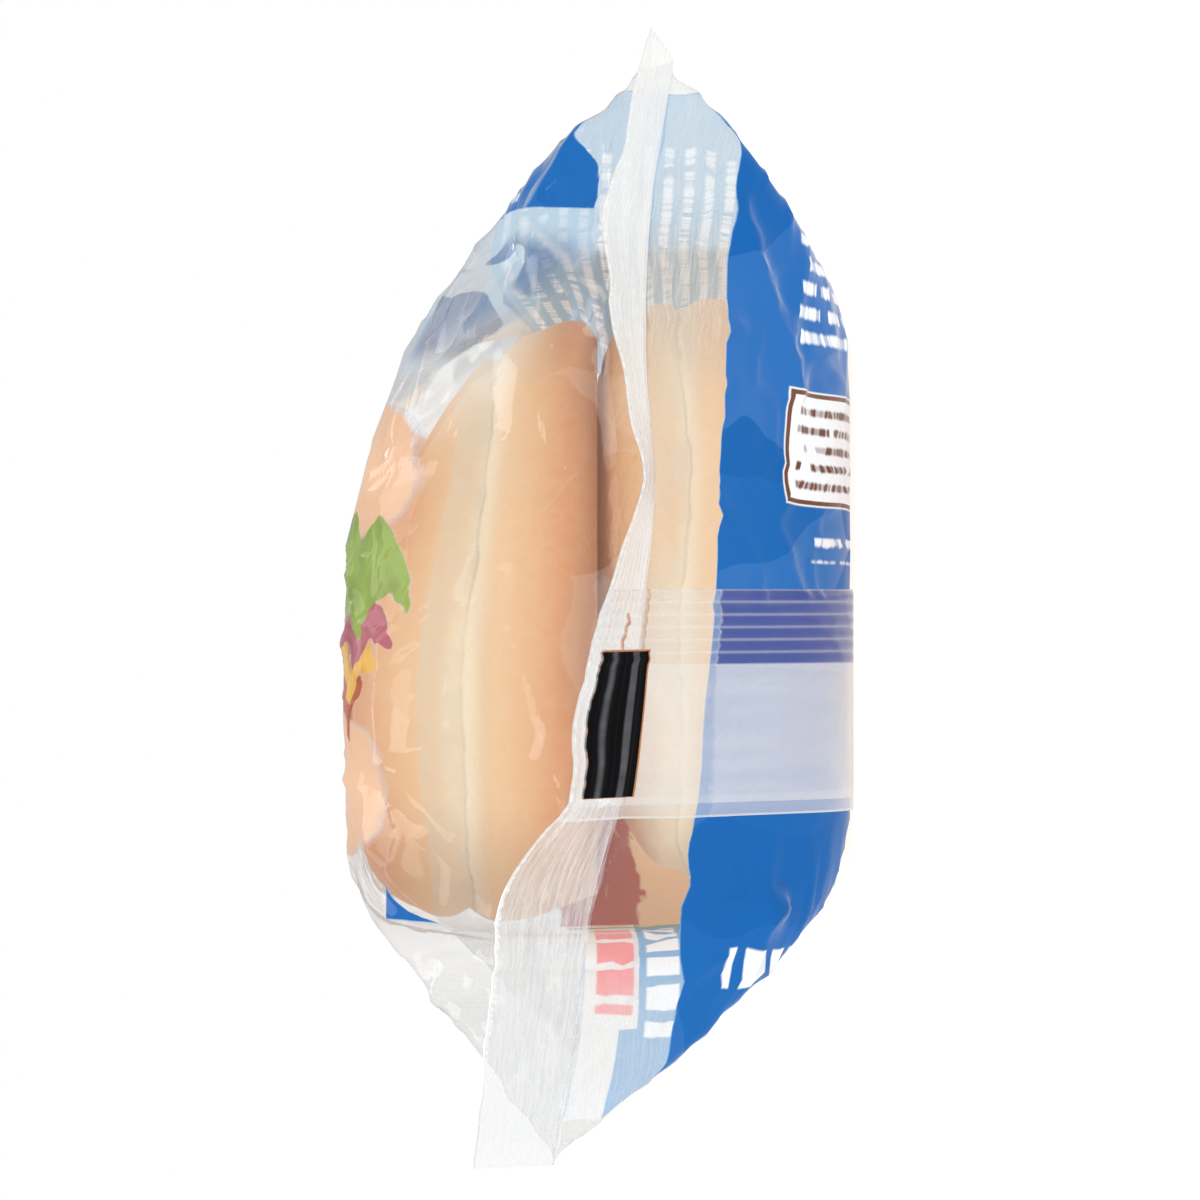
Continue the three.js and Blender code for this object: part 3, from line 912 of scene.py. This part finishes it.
# Printed fields: from and to round the film, and along the pack from its middle where they are shorter.
SIDE_ROWS = (70.5, 118.0)
RED_BLOCKS, RED_ALONG = (-108.0, -101.2), (64.0, 119.0)
WHITE_BLOCKS, WHITE_ALONG = (-116.2, -110.3), (64.0, 124.0)
WHITE_SIDE = (BLUE_BOTTOM, -99.0)
BROWN, BROWN_FADES = (-111.0, -95.0), (50.0, 53.0)
BEIGE, BEIGE_FADES = (-132.0, -110.0), (52.0, 55.0)
STRIPE, STRIPE_ALONG = (-122.0, -96.0), (54.0, 57.0)
BACK_ROWS, BACK_LOW_ROWS = (118.8, 149.6), (183.0, 187.5)
BACK_BLOCKS, BACK_BLOCKS_ALONG = (-138.0, -130.7), (84.0, 126.0)
BLOTS, BLOTS_ALONG = (44.0, 64.0), (104.0, 140.0)
PATCH, PATCH_STARTS = (-57.5, -51.5), 107.5
LABEL = (167.2, 10.3, 97.0, 21.5)  # middle and half width round the film, middle and half length along it


def film_places(finish):
    """Places on the film in mm: round it, along it, how far from its middles, and the printed area."""
    u, v, _ = finish.parts(finish.place("UV"))
    u, v = u * 1000, v * 1000
    girth, away = abs(u), abs(v)
    waver = finish.noise(finish.joined(u * 0.035, v * 0.01), 1.0, 0.0) - 0.5
    ear = 1 - finish.rise(girth, *EAR_FOLD) - 0.6 * finish.band(girth, 80, 88, 3)
    further = EAR_PRINT * ear + 1.8 * (1 - finish.rise(girth, 74, 80))
    printed = 1 - finish.rise(away + waver * 5 - further, PRINT_ENDS - 0.2, PRINT_ENDS + 0.2)
    return u, v, girth, away, printed


def rows_of_bars(finish, u, v, pitch, thick, length, ends):
    """Rows of plain ragged bars along the pack, as far as its ends say, where small print would be."""
    row = (u / pitch).floor()
    shift = ((row * 12.9898).sine() * 43.7).part()
    place = v / length + shift * 40
    stroke = finish.noise(finish.joined(place * 1.2, row * 7.31), 1.0, 1.0)
    word = finish.noise(finish.joined(place * 0.45, row * 3.17), 1.0, 0.0)
    half = thick * (0.22 + 0.5 * stroke)
    inside = 1 - finish.rise(abs((u / pitch).part() - 0.5), half - 0.09, half + 0.09)
    short = 1 - finish.rise(abs(v) + shift * 6, ends, ends + 0.4)
    return inside * finish.rise(word, 0.37, 0.4) * short * (0.5 + 0.5 * finish.rise(stroke, 0.38, 0.55))


def row_of_blocks(finish, u, away, field, along_pack, pitch, inked):
    """A row of plain blocks along the pack, where large print would be."""
    blocks = finish.band(u, *field, PRINT_EDGE) * finish.band((away / pitch).part(), *inked, 0.03)
    return blocks * finish.band(away, *along_pack, PRINT_EDGE)


def facets(finish, u, v):
    """The crushed film's facets: their tone, how milky each is as a painted reflection, and the thin painted
    highlight lines between them.
    """
    bent = (finish.noise(finish.joined(u * 0.045, v * 0.045), 1.0, 1.0) - 0.5) * 34
    here = {"Vector": finish.joined((u + bent) / CELL, (v - bent) / (1.6 * CELL)), "Scale": 1.0}
    flat = {"voronoi_dimensions": "2D"}
    cell = finish.node("ShaderNodeTexVoronoi", flat | {"feature": "F1"}, here, out=1)
    edge = finish.node("ShaderNodeTexVoronoi", flat | {"feature": "DISTANCE_TO_EDGE"}, here)
    red, green, _ = finish.parts(cell)
    # Painted reflections: facets with a high cell value are made milky.
    milky = finish.rise(red, 0.62, 0.95)
    broken = finish.noise(finish.joined(u * 0.11, v * 0.11, 3.0), 1.0, 0.0)
    # Painted highlights: thin white lines along some of the facets' edges.
    lines = (1 - finish.rise(edge, 0.004, 0.02)) * finish.rise(broken + 0.25 * green, 0.68, 0.8)
    return red, milky, lines


def painted_crease_highlights(finish, u, away):
    """Painted highlights: milky lines along the front's broad creases."""
    lines, wander = None, (finish.noise(finish.joined(u * 0.09, away * 0.09), 1.0, 1.0) - 0.5) * 5
    for end, side, start, stop, *_ in CREASES:
        if (end, side) != ("near", "front") or start[0] < 0:
            continue
        a, b = ((across, closed_at(share)) for across, share in (start, stop))
        run, rise = b[0] - a[0], b[1] - a[1]
        long = run**2 + rise**2
        t = ((u - a[0]) * run + (away - a[1]) * rise) / long
        t = t.either(0.0).least(1.0)
        off = ((u - a[0] - t * run + wander) ** 2 + (away - a[1] - t * rise) ** 2).root()
        line = (1 - finish.rise(off, 0.15, 1.1)) * (0.75 - 0.1 * wander)
        lines = line if lines is None else lines.either(line)
    return lines


WHITE_INK, GREY_INK, BROWN_INK = (0.87, 0.9, 0.93), (0.76, 0.77, 0.77), (0.16, 0.06, 0.03)
MILKY_FILM, WARM_FILM, EAR_FILM = (0.8, 0.8, 0.78), (0.82, 0.77, 0.7), (0.66, 0.66, 0.64)
BURGER_LAYERS = (  # low, high, half length, colour: a plain burger that lies across the pack over each stack
    (-48.0, -20.0, 50.0, "peach"),
    (-23.0, -15.0, 42.0, "meat"),
    (-17.0, -10.0, 48.0, "cheese"),
    (-11.0, -2.0, 50.0, "onion"),
    (10.0, 38.0, 55.0, "peach"),
    (-5.0, 14.0, 54.0, "leaf"),
)


def burger(finish, u, away):
    """The generic picture on the front: its colour and where it is."""
    film = settings().film
    q = away - 58
    frill = finish.noise(finish.joined(u * 0.08, away * 0.1), 1.0, 2.0, 0.6) - 0.5
    colour, shown = tuple(film.peach), None
    for low, high, half, tint in BURGER_LAYERS:
        middle, reach = (low + high) / 2, (high - low) / 2
        bread = tint == "peach"
        scallop = abs((q * 0.21 + low).sine()) * 6 - 3 + frill * 8
        across = abs(u - middle if bread else u - middle - scallop) / reach
        edge = (0.8, 1.1) if bread else (0.96, 1.04)
        layer = 1 - finish.rise(across**3 + (abs(q) / half + 0.15 * frill) ** 4, *edge)
        dark = (0.35 * across + (0.0 if bread else 2.4) * frill).either(0.0).least(1.0)
        shade = finish.mix(dark, tuple(getattr(film, tint)), tuple(0.5 * c for c in getattr(film, tint)))
        colour = finish.mix(layer, colour, shade)
        shown = layer if shown is None else shown.either(layer)
    return colour, shown


def side_print(finish, u, v, away):
    """The print of both long sides, shared by the film's two faces: white, red, blue, brown and beige."""
    film = settings().film
    rows = rows_of_bars(finish, u, v, 3.7, 0.46, 1.3, 130.5) * finish.band(u, *SIDE_ROWS, PRINT_EDGE)
    low_end = BLUE_BOTTOM + 3.2 * finish.rise(away, 122.0, 122.6)
    blue = 1 - finish.rise(u, low_end - 0.2, low_end + 0.2)
    heavy = row_of_blocks(finish, u, away, WHITE_BLOCKS, WHITE_ALONG, 8.5, (0.16, 0.84))
    red = row_of_blocks(finish, u, away, RED_BLOCKS, RED_ALONG, 10.5, (0.1, 0.88))
    uneven = finish.noise(finish.joined(u * 0.16, away * 0.07), 1.0, 3.0, 0.6) - 0.5
    brown = finish.band(u + uneven * 9, *BROWN, 0.8) * (1 - finish.rise(away, *BROWN_FADES))
    beige = finish.band(u + uneven * 5, *BEIGE, 0.8) * (1 - finish.rise(away, *BEIGE_FADES))
    stripe = finish.band(u, *STRIPE, 1.0) * finish.band(away, *STRIPE_ALONG, 0.6)
    # Painted highlights: lighter streaks that break up the brown, as on folded film.
    highlight_streak = finish.noise(finish.joined(u * 0.5, away * 0.09), 1.0, 3.0, 0.7)
    shown = (brown * (1.3 + uneven - finish.rise(highlight_streak, 0.58, 0.7) * 0.6)).least(1.0)
    picture = finish.mix(shown, tuple(film.face), tuple(film.meat))
    picture = finish.mix(stripe, picture, tuple(film.leaf))
    return rows, blue, heavy, red, brown.either(beige).either(stripe), picture


def outside_material():
    """The film's outer face: deep blue sides and back, a clear front with a picture, clear ends."""
    film = settings().film
    finish = Finish("printed_film_outside")
    u, v, girth, away, printed = film_places(finish)
    place = finish.place("Object")
    x, _, _ = finish.parts(place)
    tone, milky, lines = facets(finish, u, v)
    picture, pictured = burger(finish, u, away)
    rows, blue, heavy, red, side_pictured, side_picture = side_print(finish, u, v, away)
    # The front's slack edge is pale blue that thins out towards the clear window.
    blot = finish.noise(finish.joined(u * 0.075, v * 0.06), 1.0, 1.0, 0.5, 1.0)
    blots = finish.rise(blot, 0.54, 0.57) * finish.band(u, *BLOTS, 2.5) * finish.band(away, *BLOTS_ALONG, 4)
    sky = finish.mix(blots * 0.85, tuple(film.sky), tuple(film.blot))
    front = finish.mix(pictured, sky, picture)
    pale_start = u - ((away - 106) * 0.6).either(0.0)
    pale = finish.rise(pale_start, PALE_START - 3, PALE_START + 7)
    # Where the facets carry painted reflections, the pale blue is thinner.
    front_opacity = (pictured * 0.92).either(pale * (0.6 + 0.2 * blots - 0.3 * milky))
    deep = finish.rise(u, BLUE_TOP - 0.2, BLUE_TOP + 0.2)
    patch_ends = PATCH_STARTS + 0.5 + ((PATCH[1] - u) / 5.5).either(0.0) ** 2 * 12
    patch = finish.band(u, *PATCH, PRINT_EDGE) * finish.band(away, PATCH_STARTS, patch_ends, PRINT_EDGE)
    deep = deep.either(patch).either(blue)
    # The back: rows of bars, a label and a thick row of blocks.
    back_rows = rows_of_bars(finish, u, v, 4.4, 0.5, 2.2, 119) * finish.band(u, *BACK_ROWS, PRINT_EDGE)
    low_rows = rows_of_bars(finish, u - 1.0, v, 4.4, 0.42, 2.2, 114)
    rows = rows.either(back_rows).either(low_rows * finish.band(u, *BACK_LOW_ROWS, PRINT_EDGE))
    wide = row_of_blocks(finish, u, away, BACK_BLOCKS, BACK_BLOCKS_ALONG, 6.5, (0.14, 0.8))
    label_u, label_v = abs(u - LABEL[0]) - LABEL[1], abs(away - LABEL[2]) - LABEL[3]
    edge = label_u.either(label_v)
    label, border = 1 - finish.rise(edge, -0.2, 0.2), 1 - finish.rise(abs(edge + 0.7), 0.3, 0.5)
    text = rows_of_bars(finish, u - 0.6, v, 3.3, 0.42, 1.9, 200) * (1 - finish.rise(edge, -2.6, -2.2))
    # Painted light: facets of the deep blue turn lighter towards the sheen colour by their random tone.
    colour = finish.mix((1 - tone) * 0.45, tuple(film.blue), tuple(film.sheen))
    colour = finish.mix(rows.either(heavy).either(wide), colour, WHITE_INK)
    colour = finish.mix(label, colour, WHITE_INK)
    colour = finish.mix(border.either(text * label), colour, BROWN_INK)
    colour = finish.mix(1 - deep, colour, front)
    colour = finish.mix(red * (1 - deep), colour, tuple(film.red))
    colour = finish.mix(side_pictured, colour, side_picture)
    white_side = finish.band(u, *WHITE_SIDE, PRINT_EDGE)
    colour = finish.mix(white_side * (1 - red) * (1 - side_pictured), colour, WHITE_INK)
    side_opacity = side_pictured.either(white_side * (0.5 + 0.5 * red))
    opacity = printed * deep.either(front_opacity).either(side_opacity)
    # The crimped fins and the stressed film at their roots are milky.
    fin = finish.rise(away, SEAL_Y - 0.8, SEAL_Y + 0.4)
    bent = finish.noise(finish.joined(u * 0.12, v * 0.1), 1.0, 0.0) * 2.2
    streaks = finish.noise(finish.joined(u * 0.09, v * 1.5 + bent), 1.0, 3.0, 0.75)
    ragged = finish.noise(finish.joined(u * 0.6, 0.0), 1.0, 1.0, 0.7) - 0.5
    edge = away - SEAL_Y - FIN_WIDTH + ragged * 2
    rim = finish.rise(edge, -0.9, -0.5) * (0.7 + ragged)
    torn = (1 - finish.rise(abs(edge + 3.4 + ragged), 0.15, 0.35)) * finish.band(x, -0.045, 0.012, 0.004)
    solid = finish.rise(x, -0.045, 0.0)
    crimped = (0.08 + 0.3 * solid + (1.3 - 0.3 * solid) * (streaks - 0.38)).either(0.05)
    opacity = opacity.either(fin * crimped.either(rim).either(torn * 0.8))
    colour = finish.mix(fin, colour, MILKY_FILM)
    # Bare film: painted reflections on milky facets, painted highlights as white lines along its creases and
    # between facets, whitened streaks with painted glints at the fin's root, and greyer ears.
    back, ears = finish.rise(girth, 104, 110), finish.rise(abs(x), 0.062, 0.078)
    creased = ((streaks - 0.42) * 1.6).either(0.0)
    upper = finish.rise(x, 0.034, 0.056)
    root = (1 - printed) * back * (0.07 + upper * (0.12 + creased * 0.7))
    root = root.either(ears * (0.27 + 0.5 * creased))
    painted_highlights = (lines * 0.12 * (1 - deep)).either(painted_crease_highlights(finish, u, away) * 0.5) * (1 - fin)
    glaze = finish.band(pale_start, 26, 42, 6) * finish.band(away, 84, 132, 6) * 0.42
    haze = film.veil + (0.12 * milky).either(root).either(glaze) * (1 - fin)
    bare = (1 - finish.rise(opacity, 0.02, 0.1)).either(painted_highlights)
    colour = finish.mix(bare, colour, finish.mix(ears, WARM_FILM, EAR_FILM))
    opacity = opacity.either(haze).either(painted_highlights)
    normal = film_relief(finish, place)
    dull = finish.rise(tone, 0.25, 0.5) * 0.5
    return finish.done(clear_film(finish, opacity, colour, normal, 0.03, dull=dull))


def inside_material():
    """The film's inner face, where the same inks show paler and the other way round."""
    film = settings().film
    finish = Finish("printed_film_inside")
    u, v, _, away, printed = film_places(finish)
    rows, blue, heavy, red, side_pictured, side_picture = side_print(finish, u, v, away)
    blotchy = finish.noise(finish.joined(u * 0.06, v * 0.05), 1.0, 2.0)
    faded = finish.mix(finish.rise(blotchy, 0.45, 0.7) * 0.5, tuple(film.pale_blue), tuple(film.faded))
    pale = finish.mix(u < 0.0, faded, tuple(film.light_blue))
    colour = finish.mix((rows * 0.65).either(heavy * 0.9), pale, WHITE_INK)
    white_side = finish.band(u, *WHITE_SIDE, PRINT_EDGE)
    colour = finish.mix(white_side * (1 - blue), colour, GREY_INK)
    colour = finish.mix(red * 0.62 * (1 - blue), colour, tuple(film.red))
    colour = finish.mix(side_pictured, colour, side_picture)
    covered = finish.rise(u, BLUE_TOP - 0.2, BLUE_TOP + 0.2).either(blue).either(side_pictured)
    opacity = (printed * covered.either(white_side * 0.8)).either(film.veil)
    # Painted glow: the inner inks emit their own colour, in place of light that comes through from outside.
    return finish.done(clear_film(finish, opacity, colour, glow=0.2))


# --- The back seam ---

SEAM_ROOT_X = 2.0
WELD_WIDTH = 14.0
SKIRT_WIDTH = 28.0
SKIRT_TAPER = 4.0
RIBS = 6
RIB_HEIGHT = 0.28
SEAM_FREE_Y = (86.0, 108.0)
SEAM_SHEETS = (
    # gap at the weld, gap at the skirt's edge, height over the table and how much shorter the skirt is
    (0.35, 1.2, 0.3, 2.4),
    (0.65, 2.3, 0.06, 0.0),
)
WELD_COLUMNS, SKIRT_COLUMNS = 36, 16


def seam_points(near_gap, far_gap, table_gap, shorter):
    """One sheet of the back seam: points, and places as mm from the weld's root and along the pack."""
    film = film_shape()
    normals = normals_of(film.smooth)
    weld = SEAM_ROOT_X - WELD_WIDTH * np.linspace(0, 1, WELD_COLUMNS + 1)
    points, places = [], []
    for ring, smooth, normal, v in zip(film.points, film.smooth, normals, film.places[:, 0, 1]):
        narrower = SKIRT_TAPER * smoothstep(abs(v), 0, SEAL_Y) * (1 if v > 0 else 0) + shorter
        skirt = np.linspace(0, 1, SKIRT_COLUMNS + 1)[1:]
        x = np.concatenate((weld, weld[-1] - (SKIRT_WIDTH - narrower) * skirt))
        back = np.r_[QUARTERS[3] : COLUMNS, 0 : QUARTERS[1] + 1]
        order = back[np.argsort(smooth[back, 0], kind="stable")]
        at = np.stack([np.interp(x, smooth[order, 0], ring[order, k]) for k in range(3)], -1)
        out = np.stack([np.interp(x, smooth[order, 0], normal[order, k]) for k in range(3)], -1)
        reach = SEAM_ROOT_X - x
        ribs = RIB_HEIGHT * np.sin(np.pi * RIBS * np.clip(reach / WELD_WIDTH, 0, 1)) ** 2
        loose = smoothstep(reach, WELD_WIDTH, WELD_WIDTH + SKIRT_WIDTH)
        free = smoothstep(abs(v), *SEAM_FREE_Y) * (1 - smoothstep(abs(v), SEAL_Y - 14, SEAL_Y))
        flutter = np.array([noise.noise(Vector((a / 16, v / 22, far_gap))) for a in reach])
        gap = near_gap + (far_gap - near_gap) * loose * free + ribs + 0.9 * flutter * loose * free
        spot = at + out * gap[:, None]
        spot[:, 2] = np.maximum(spot[:, 2], table_gap)
        points.append(spot)
        places.append(np.stack((reach, np.full_like(reach, v)), -1))
    return np.array(points), np.array(places)


def rolled_sheet(shape, points, places):
    """Adds a grid to the bmesh, laid out on these points, with its places as its UV map in metres."""
    rows, columns = points.shape[:2]
    made = bmesh.ops.create_grid(shape, x_segments=columns - 1, y_segments=rows - 1, size=0.5, calc_uvs=True)
    sheet = shape.loops.layers.uv.verify()
    where = {}
    for vert in made["verts"]:
        column = round((vert.co.x + 0.5) * (columns - 1))
        where[vert] = (round((vert.co.y + 0.5) * (rows - 1)), column)
    faces = {face for vert in made["verts"] for face in vert.link_faces}
    for face in faces:
        for loop in face.loops:
            u, v = places[where[loop.vert]]
            loop[sheet].uv = (u * MM, v * MM)
    for vert, spot in where.items():
        vert.co = points[spot] * MM
    return made["verts"]


def make_seam(material):
    shape = bmesh.new()
    for gaps in SEAM_SHEETS:
        rolled_sheet(shape, *seam_points(*gaps))
    bmesh.ops.recalc_face_normals(shape, faces=shape.faces)
    piece = finished(shape, "back_seam", [material])
    wall = piece.modifiers.new("Wall", "SOLIDIFY")
    wall.thickness = settings().film.thickness
    wall.offset = 0
    wall.use_even_offset = False
    only_seen_by_camera(piece)
    return piece


MARK = (11.3, 38.0, 150.5, 168.0)  # the registration mark: from and to along the skirt, and along the pack
MARK_SHEEN_BANDS = ((-157.3, -155.2), (-164.3, -162.4))  # painted highlight bands across the mark, placed along the pack
SEAM_FILM, VIOLET_INK = (0.8, 0.8, 0.79), (0.03, 0.06, 0.28)
RUST_INK, MARK_SHEEN = (0.42, 0.15, 0.04), (0.3, 0.31, 0.33)


def seam_material():
    """Clear film that is milky where it is loose, violet where two prints lie over each other in the weld."""
    film = settings().film
    finish = Finish("seam_film")
    reach, v, _ = finish.parts(finish.place("UV"))
    reach, v = reach * 1000, v * 1000
    waver = finish.noise(finish.joined(reach * 0.4, v * 0.4), 1.0, 2.0) - 0.5
    low, high, start, stop = MARK
    mark = finish.band(reach, low, high, 0.1) * finish.band(-v, start, stop + waver * 2, 0.1)
    border = finish.band(reach, low - 0.35, high + 0.1, 0.1) * finish.band(-v, start - 0.4, stop, 0.1)
    smear = finish.band(reach, low - 7, low, 0.3) * finish.band(-v + waver * 4, 160.5, 161.6, 0.3)
    weld = 1 - finish.rise(reach, WELD_WIDTH - 0.3, WELD_WIDTH + 0.3)
    rib = (reach * (math.pi * RIBS / WELD_WIDTH)).sine() ** 2
    printed = 1 - finish.rise(abs(v) + waver * 2, PRINT_ENDS - 1, PRINT_ENDS - 0.6)
    streaks = finish.noise(finish.joined(reach * 0.3, v * 0.03), 1.0, 2.0)
    edge = finish.rise(reach, WELD_WIDTH + SKIRT_WIDTH - 4.2, WELD_WIDTH + SKIRT_WIDTH - 3.6)
    rim = finish.rise(reach, WELD_WIDTH + SKIRT_WIDTH - 0.5, WELD_WIDTH + SKIRT_WIDTH - 0.2)
    line = finish.rise(abs((reach * (RIBS / WELD_WIDTH)).part() - 0.5), 0.32, 0.46)
    loose = (1 - weld) * (0.07 + 0.09 * streaks + 0.06 * printed) + edge * 0.03 + rim * 0.3
    opacity = loose + weld * (0.03 + 0.06 * line + printed * (0.44 + 0.1 * rib))
    opacity = opacity.either(mark).either((border * 0.8).either(smear * 0.8))
    colour = finish.mix(weld * printed * (1 - 0.25 * line), SEAM_FILM, VIOLET_INK)
    colour = finish.mix(border.either(smear), colour, RUST_INK)
    # Painted highlights: two lighter bands across the black mark.
    near_sheen, far_sheen = (finish.band(v, *place, 0.5) for place in MARK_SHEEN_BANDS)
    colour = finish.mix(mark, colour, tuple(film.mark))
    colour = finish.mix(mark * near_sheen.either(far_sheen) * (0.1 + 0.3 * streaks), colour, MARK_SHEEN)
    normal = film_relief(finish, finish.place("Object"))
    return finish.done(clear_film(finish, opacity, colour, normal, 0.03, dull=mark * 0.92))


# --- The crumbs ---

CRUMB_COUNT = 110


def make_crumbs(material):
    """Crumbs that have come off the buns and cling to the film inside the near end."""
    film = film_shape()
    draw = random.Random(settings().seed)
    shape = bmesh.new()
    inward = -normals_of(film.smooth)
    for k in range(CRUMB_COUNT):
        end = "near" if k < 0.75 * CRUMB_COUNT else "far"
        sign = ENDS[end]["sign"]
        distance = draw.uniform(96, 140)
        row = int(np.argmin(np.abs(film.places[:, 0, 1] - sign * distance)))
        low, high = (QUARTERS[1] + 40, QUARTERS[3] - 30) if k % 3 else (QUARTERS[3] + 30, COLUMNS - 4)
        column = draw.randint(low, high)
        size = draw.uniform(0.25, 0.75)
        middle = film.points[row, column] + inward[row, column] * (size * 0.55 + 0.15)
        before = set(shape.verts)
        bmesh.ops.create_icosphere(shape, subdivisions=2, radius=size)
        crumb = [vert for vert in shape.verts if vert not in before]
        stretch = Vector([draw.uniform(0.6, 1.3) for _ in range(3)])
        for vert in crumb:
            bumpy = 1 + 0.35 * noise.noise(vert.co * 3 / size + Vector((k, 0, 0)))
            vert.co = (vert.co * stretch * bumpy + Vector(middle)) * MM
    return finished(shape, "crumbs", [material])


def crumb_material():
    bun = settings().bun
    finish = Finish("crumb")
    place = finish.place("Object")
    tone = finish.mix(finish.noise(place, 900.0, 2.0) * 0.6, (1.0, 0.93, 0.8), tuple(bun.face))
    normal = finish.bump(finish.noise(place, 3000.0, 2.0), 0.0003, 0.6)
    return finish.done(
        finish.node(
            "ShaderNodeBsdfPrincipled",
            values={
                "Base Color": tone, "Roughness": 0.8, "Normal": normal, "Emission Color": tone,
                # Painted glow: the crumbs emit their own colour, as the bread does.
                "Emission Strength": PAINTED_BREAD_GLOW,
            },
        )
    )


# ---------------------------------------------------------------------------------------------------------
# Operators.


class PACK_OT_buns(bpy.types.Operator):
    """Makes the four buns, in two stacks of two"""

    bl_idname = "bun_pack.buns"
    bl_label = "Buns"

    def execute(self, context):
        for place in BUN_PLACES:
            name, middle, _, pressed, _, waist_share = place
            heel_shade = 1.0 if "upper" in name else 0.0
            make_bun(*place, bun_material(f"bread_{name}", middle, pressed, waist_share, heel_shade))
        return {"FINISHED"}


class PACK_OT_film(bpy.types.Operator):
    """Makes the printed film bag with its end fins"""

    bl_idname = "bun_pack.film"
    bl_label = "Film bag"

    def execute(self, context):
        make_film(outside_material(), inside_material())
        return {"FINISHED"}


class PACK_OT_seam(bpy.types.Operator):
    """Makes the back seam: a ribbed weld and a loose skirt of two layers"""

    bl_idname = "bun_pack.seam"
    bl_label = "Back seam"

    def execute(self, context):
        make_seam(seam_material())
        return {"FINISHED"}


class PACK_OT_crumbs(bpy.types.Operator):
    """Makes the crumbs inside the film"""

    bl_idname = "bun_pack.crumbs"
    bl_label = "Crumbs"

    def execute(self, context):
        make_crumbs(crumb_material())
        return {"FINISHED"}


class PACK_OT_stage(bpy.types.Operator):
    """Makes the table, the lights and the camera"""

    bl_idname = "bun_pack.stage"
    bl_label = "Stage"

    def execute(self, context):
        make_table()
        make_lights()
        make_camera()
        return {"FINISHED"}


NEAR_STACK_Y = -58.0
TABLE_HALF = 6.0
PACK_MIDDLE = (0, 0, 0.05)
SOFT_BOXES = (  # name, place, size and radiance
    ("overhead_box", (0.05, 0.25, 1.0), (0.4, 0.45), 3.2),
    ("front_box", (0.5, -1.3, 0.9), (0.5, 0.5), 3.2),
    ("side_box", (-0.7, -1.2, 0.4), (0.3, 0.7), 3.2),
)


def make_table():
    finish = Finish("table")
    shader = finish.node(
        "ShaderNodeBsdfPrincipled",
        values={
            "Base Color": (0.3, 0.3, 0.3, 1), "Roughness": 0.7, "Emission Color": (1, 1, 1, 1),
            "Emission Strength": 0.84,
        },
    )
    shape = bmesh.new()
    bmesh.ops.create_grid(shape, x_segments=2, y_segments=2, size=TABLE_HALF)
    mesh = bpy.data.meshes.new("table")
    shape.to_mesh(mesh)
    shape.free()
    mesh.materials.append(finish.done(shader))
    table = bpy.data.objects.new("table", mesh)
    bpy.context.scene.collection.objects.link(table)
    table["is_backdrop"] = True


def soft_box(name, place, size, radiance):
    """A rectangular light that looks at the pack, and that the camera doesn't see."""
    light = bpy.data.lights.new(name, "AREA")
    light.shape = "RECTANGLE"
    light.size, light.size_y = size
    light.energy = radiance * math.pi * size[0] * size[1]
    lamp = bpy.data.objects.new(name, light)
    lamp.location = place
    lamp.rotation_euler = (Vector(PACK_MIDDLE) - Vector(place)).to_track_quat("-Z", "Y").to_euler()
    lamp.visible_camera = False
    bpy.context.scene.collection.objects.link(lamp)


def make_lights():
    """White surroundings, dimmer in reflections, and soft boxes over and in front of the pack."""
    stage = settings().stage
    world = bpy.data.worlds.new("surroundings")
    world.use_nodes = True
    tree = world.node_tree
    background = tree.nodes["Background"]
    path = tree.nodes.new("ShaderNodeLightPath")
    strength = stage.brightness
    for ray, wanted in (("Is Diffuse Ray", stage.fill), ("Is Glossy Ray", stage.reflected)):
        change = tree.nodes.new("ShaderNodeMapRange")
        if isinstance(strength, float):
            change.inputs["To Min"].default_value = strength
        else:
            tree.links.new(strength, change.inputs["To Min"])
        change.inputs["To Max"].default_value = wanted
        tree.links.new(path.outputs[ray], change.inputs["Value"])
        strength = change.outputs["Result"]
    tree.links.new(strength, background.inputs["Strength"])
    background.inputs["Color"].default_value = (1, 1, 1, 1)
    scene = bpy.context.scene
    scene.world = world
    scene.view_settings.view_transform = "Standard"
    scene.cycles.transparent_max_bounces = 32
    scene.cycles.max_bounces = 4
    scene.cycles.diffuse_bounces = 2
    scene.cycles.glossy_bounces = 1
    for box in SOFT_BOXES:
        soft_box(*box)


def make_camera():
    stage = settings().stage
    camera = bpy.data.cameras.new("camera")
    camera.sensor_width = 36.0
    camera.lens = 36.0 * stage.distance / (1200 * stage.pixel)
    camera.clip_start, camera.clip_end = 0.05, 50.0
    holder = bpy.data.objects.new("camera", camera)
    holder.location = (0, NEAR_STACK_Y * MM - stage.distance, stage.eye_height)
    holder.rotation_euler = (math.radians(90), math.radians(90), 0)
    bpy.context.scene.collection.objects.link(holder)
    bpy.context.scene.camera = holder


class PACK_PT_panel(bpy.types.Panel):
    """Lists the pack's sizes, colours and pieces in the sidebar"""

    bl_idname = "PACK_PT_panel"
    bl_label = "Bagged Hamburger Buns"
    bl_space_type = "VIEW_3D"
    bl_region_type = "UI"
    bl_category = "Buns"

    def draw(self, context):
        groups = (("Buns", settings().bun), ("Film", settings().film), ("Stage", settings().stage))
        for title, group in groups:
            box = self.layout.box()
            box.label(text=title)
            for name in group.__annotations__:
                box.prop(group, name)
        self.layout.prop(settings(), "seed")
        for operator in OPERATORS:
            self.layout.operator(operator.bl_idname)


OPERATORS = (PACK_OT_buns, PACK_OT_film, PACK_OT_seam, PACK_OT_crumbs, PACK_OT_stage)
CLASSES = (BunSettings, FilmSettings, StageSettings, PackSettings, *OPERATORS, PACK_PT_panel)


def register():
    for cls in CLASSES:
        bpy.utils.register_class(cls)
    bpy.types.Scene.bun_pack = PointerProperty(type=PackSettings)


def unregister():
    del bpy.types.Scene.bun_pack
    for cls in reversed(CLASSES):
        bpy.utils.unregister_class(cls)


def main():
    register()
    for operator in OPERATORS:
        getattr(bpy.ops.bun_pack, operator.bl_idname.split(".")[1])()


if __name__ == "__main__":
    main()
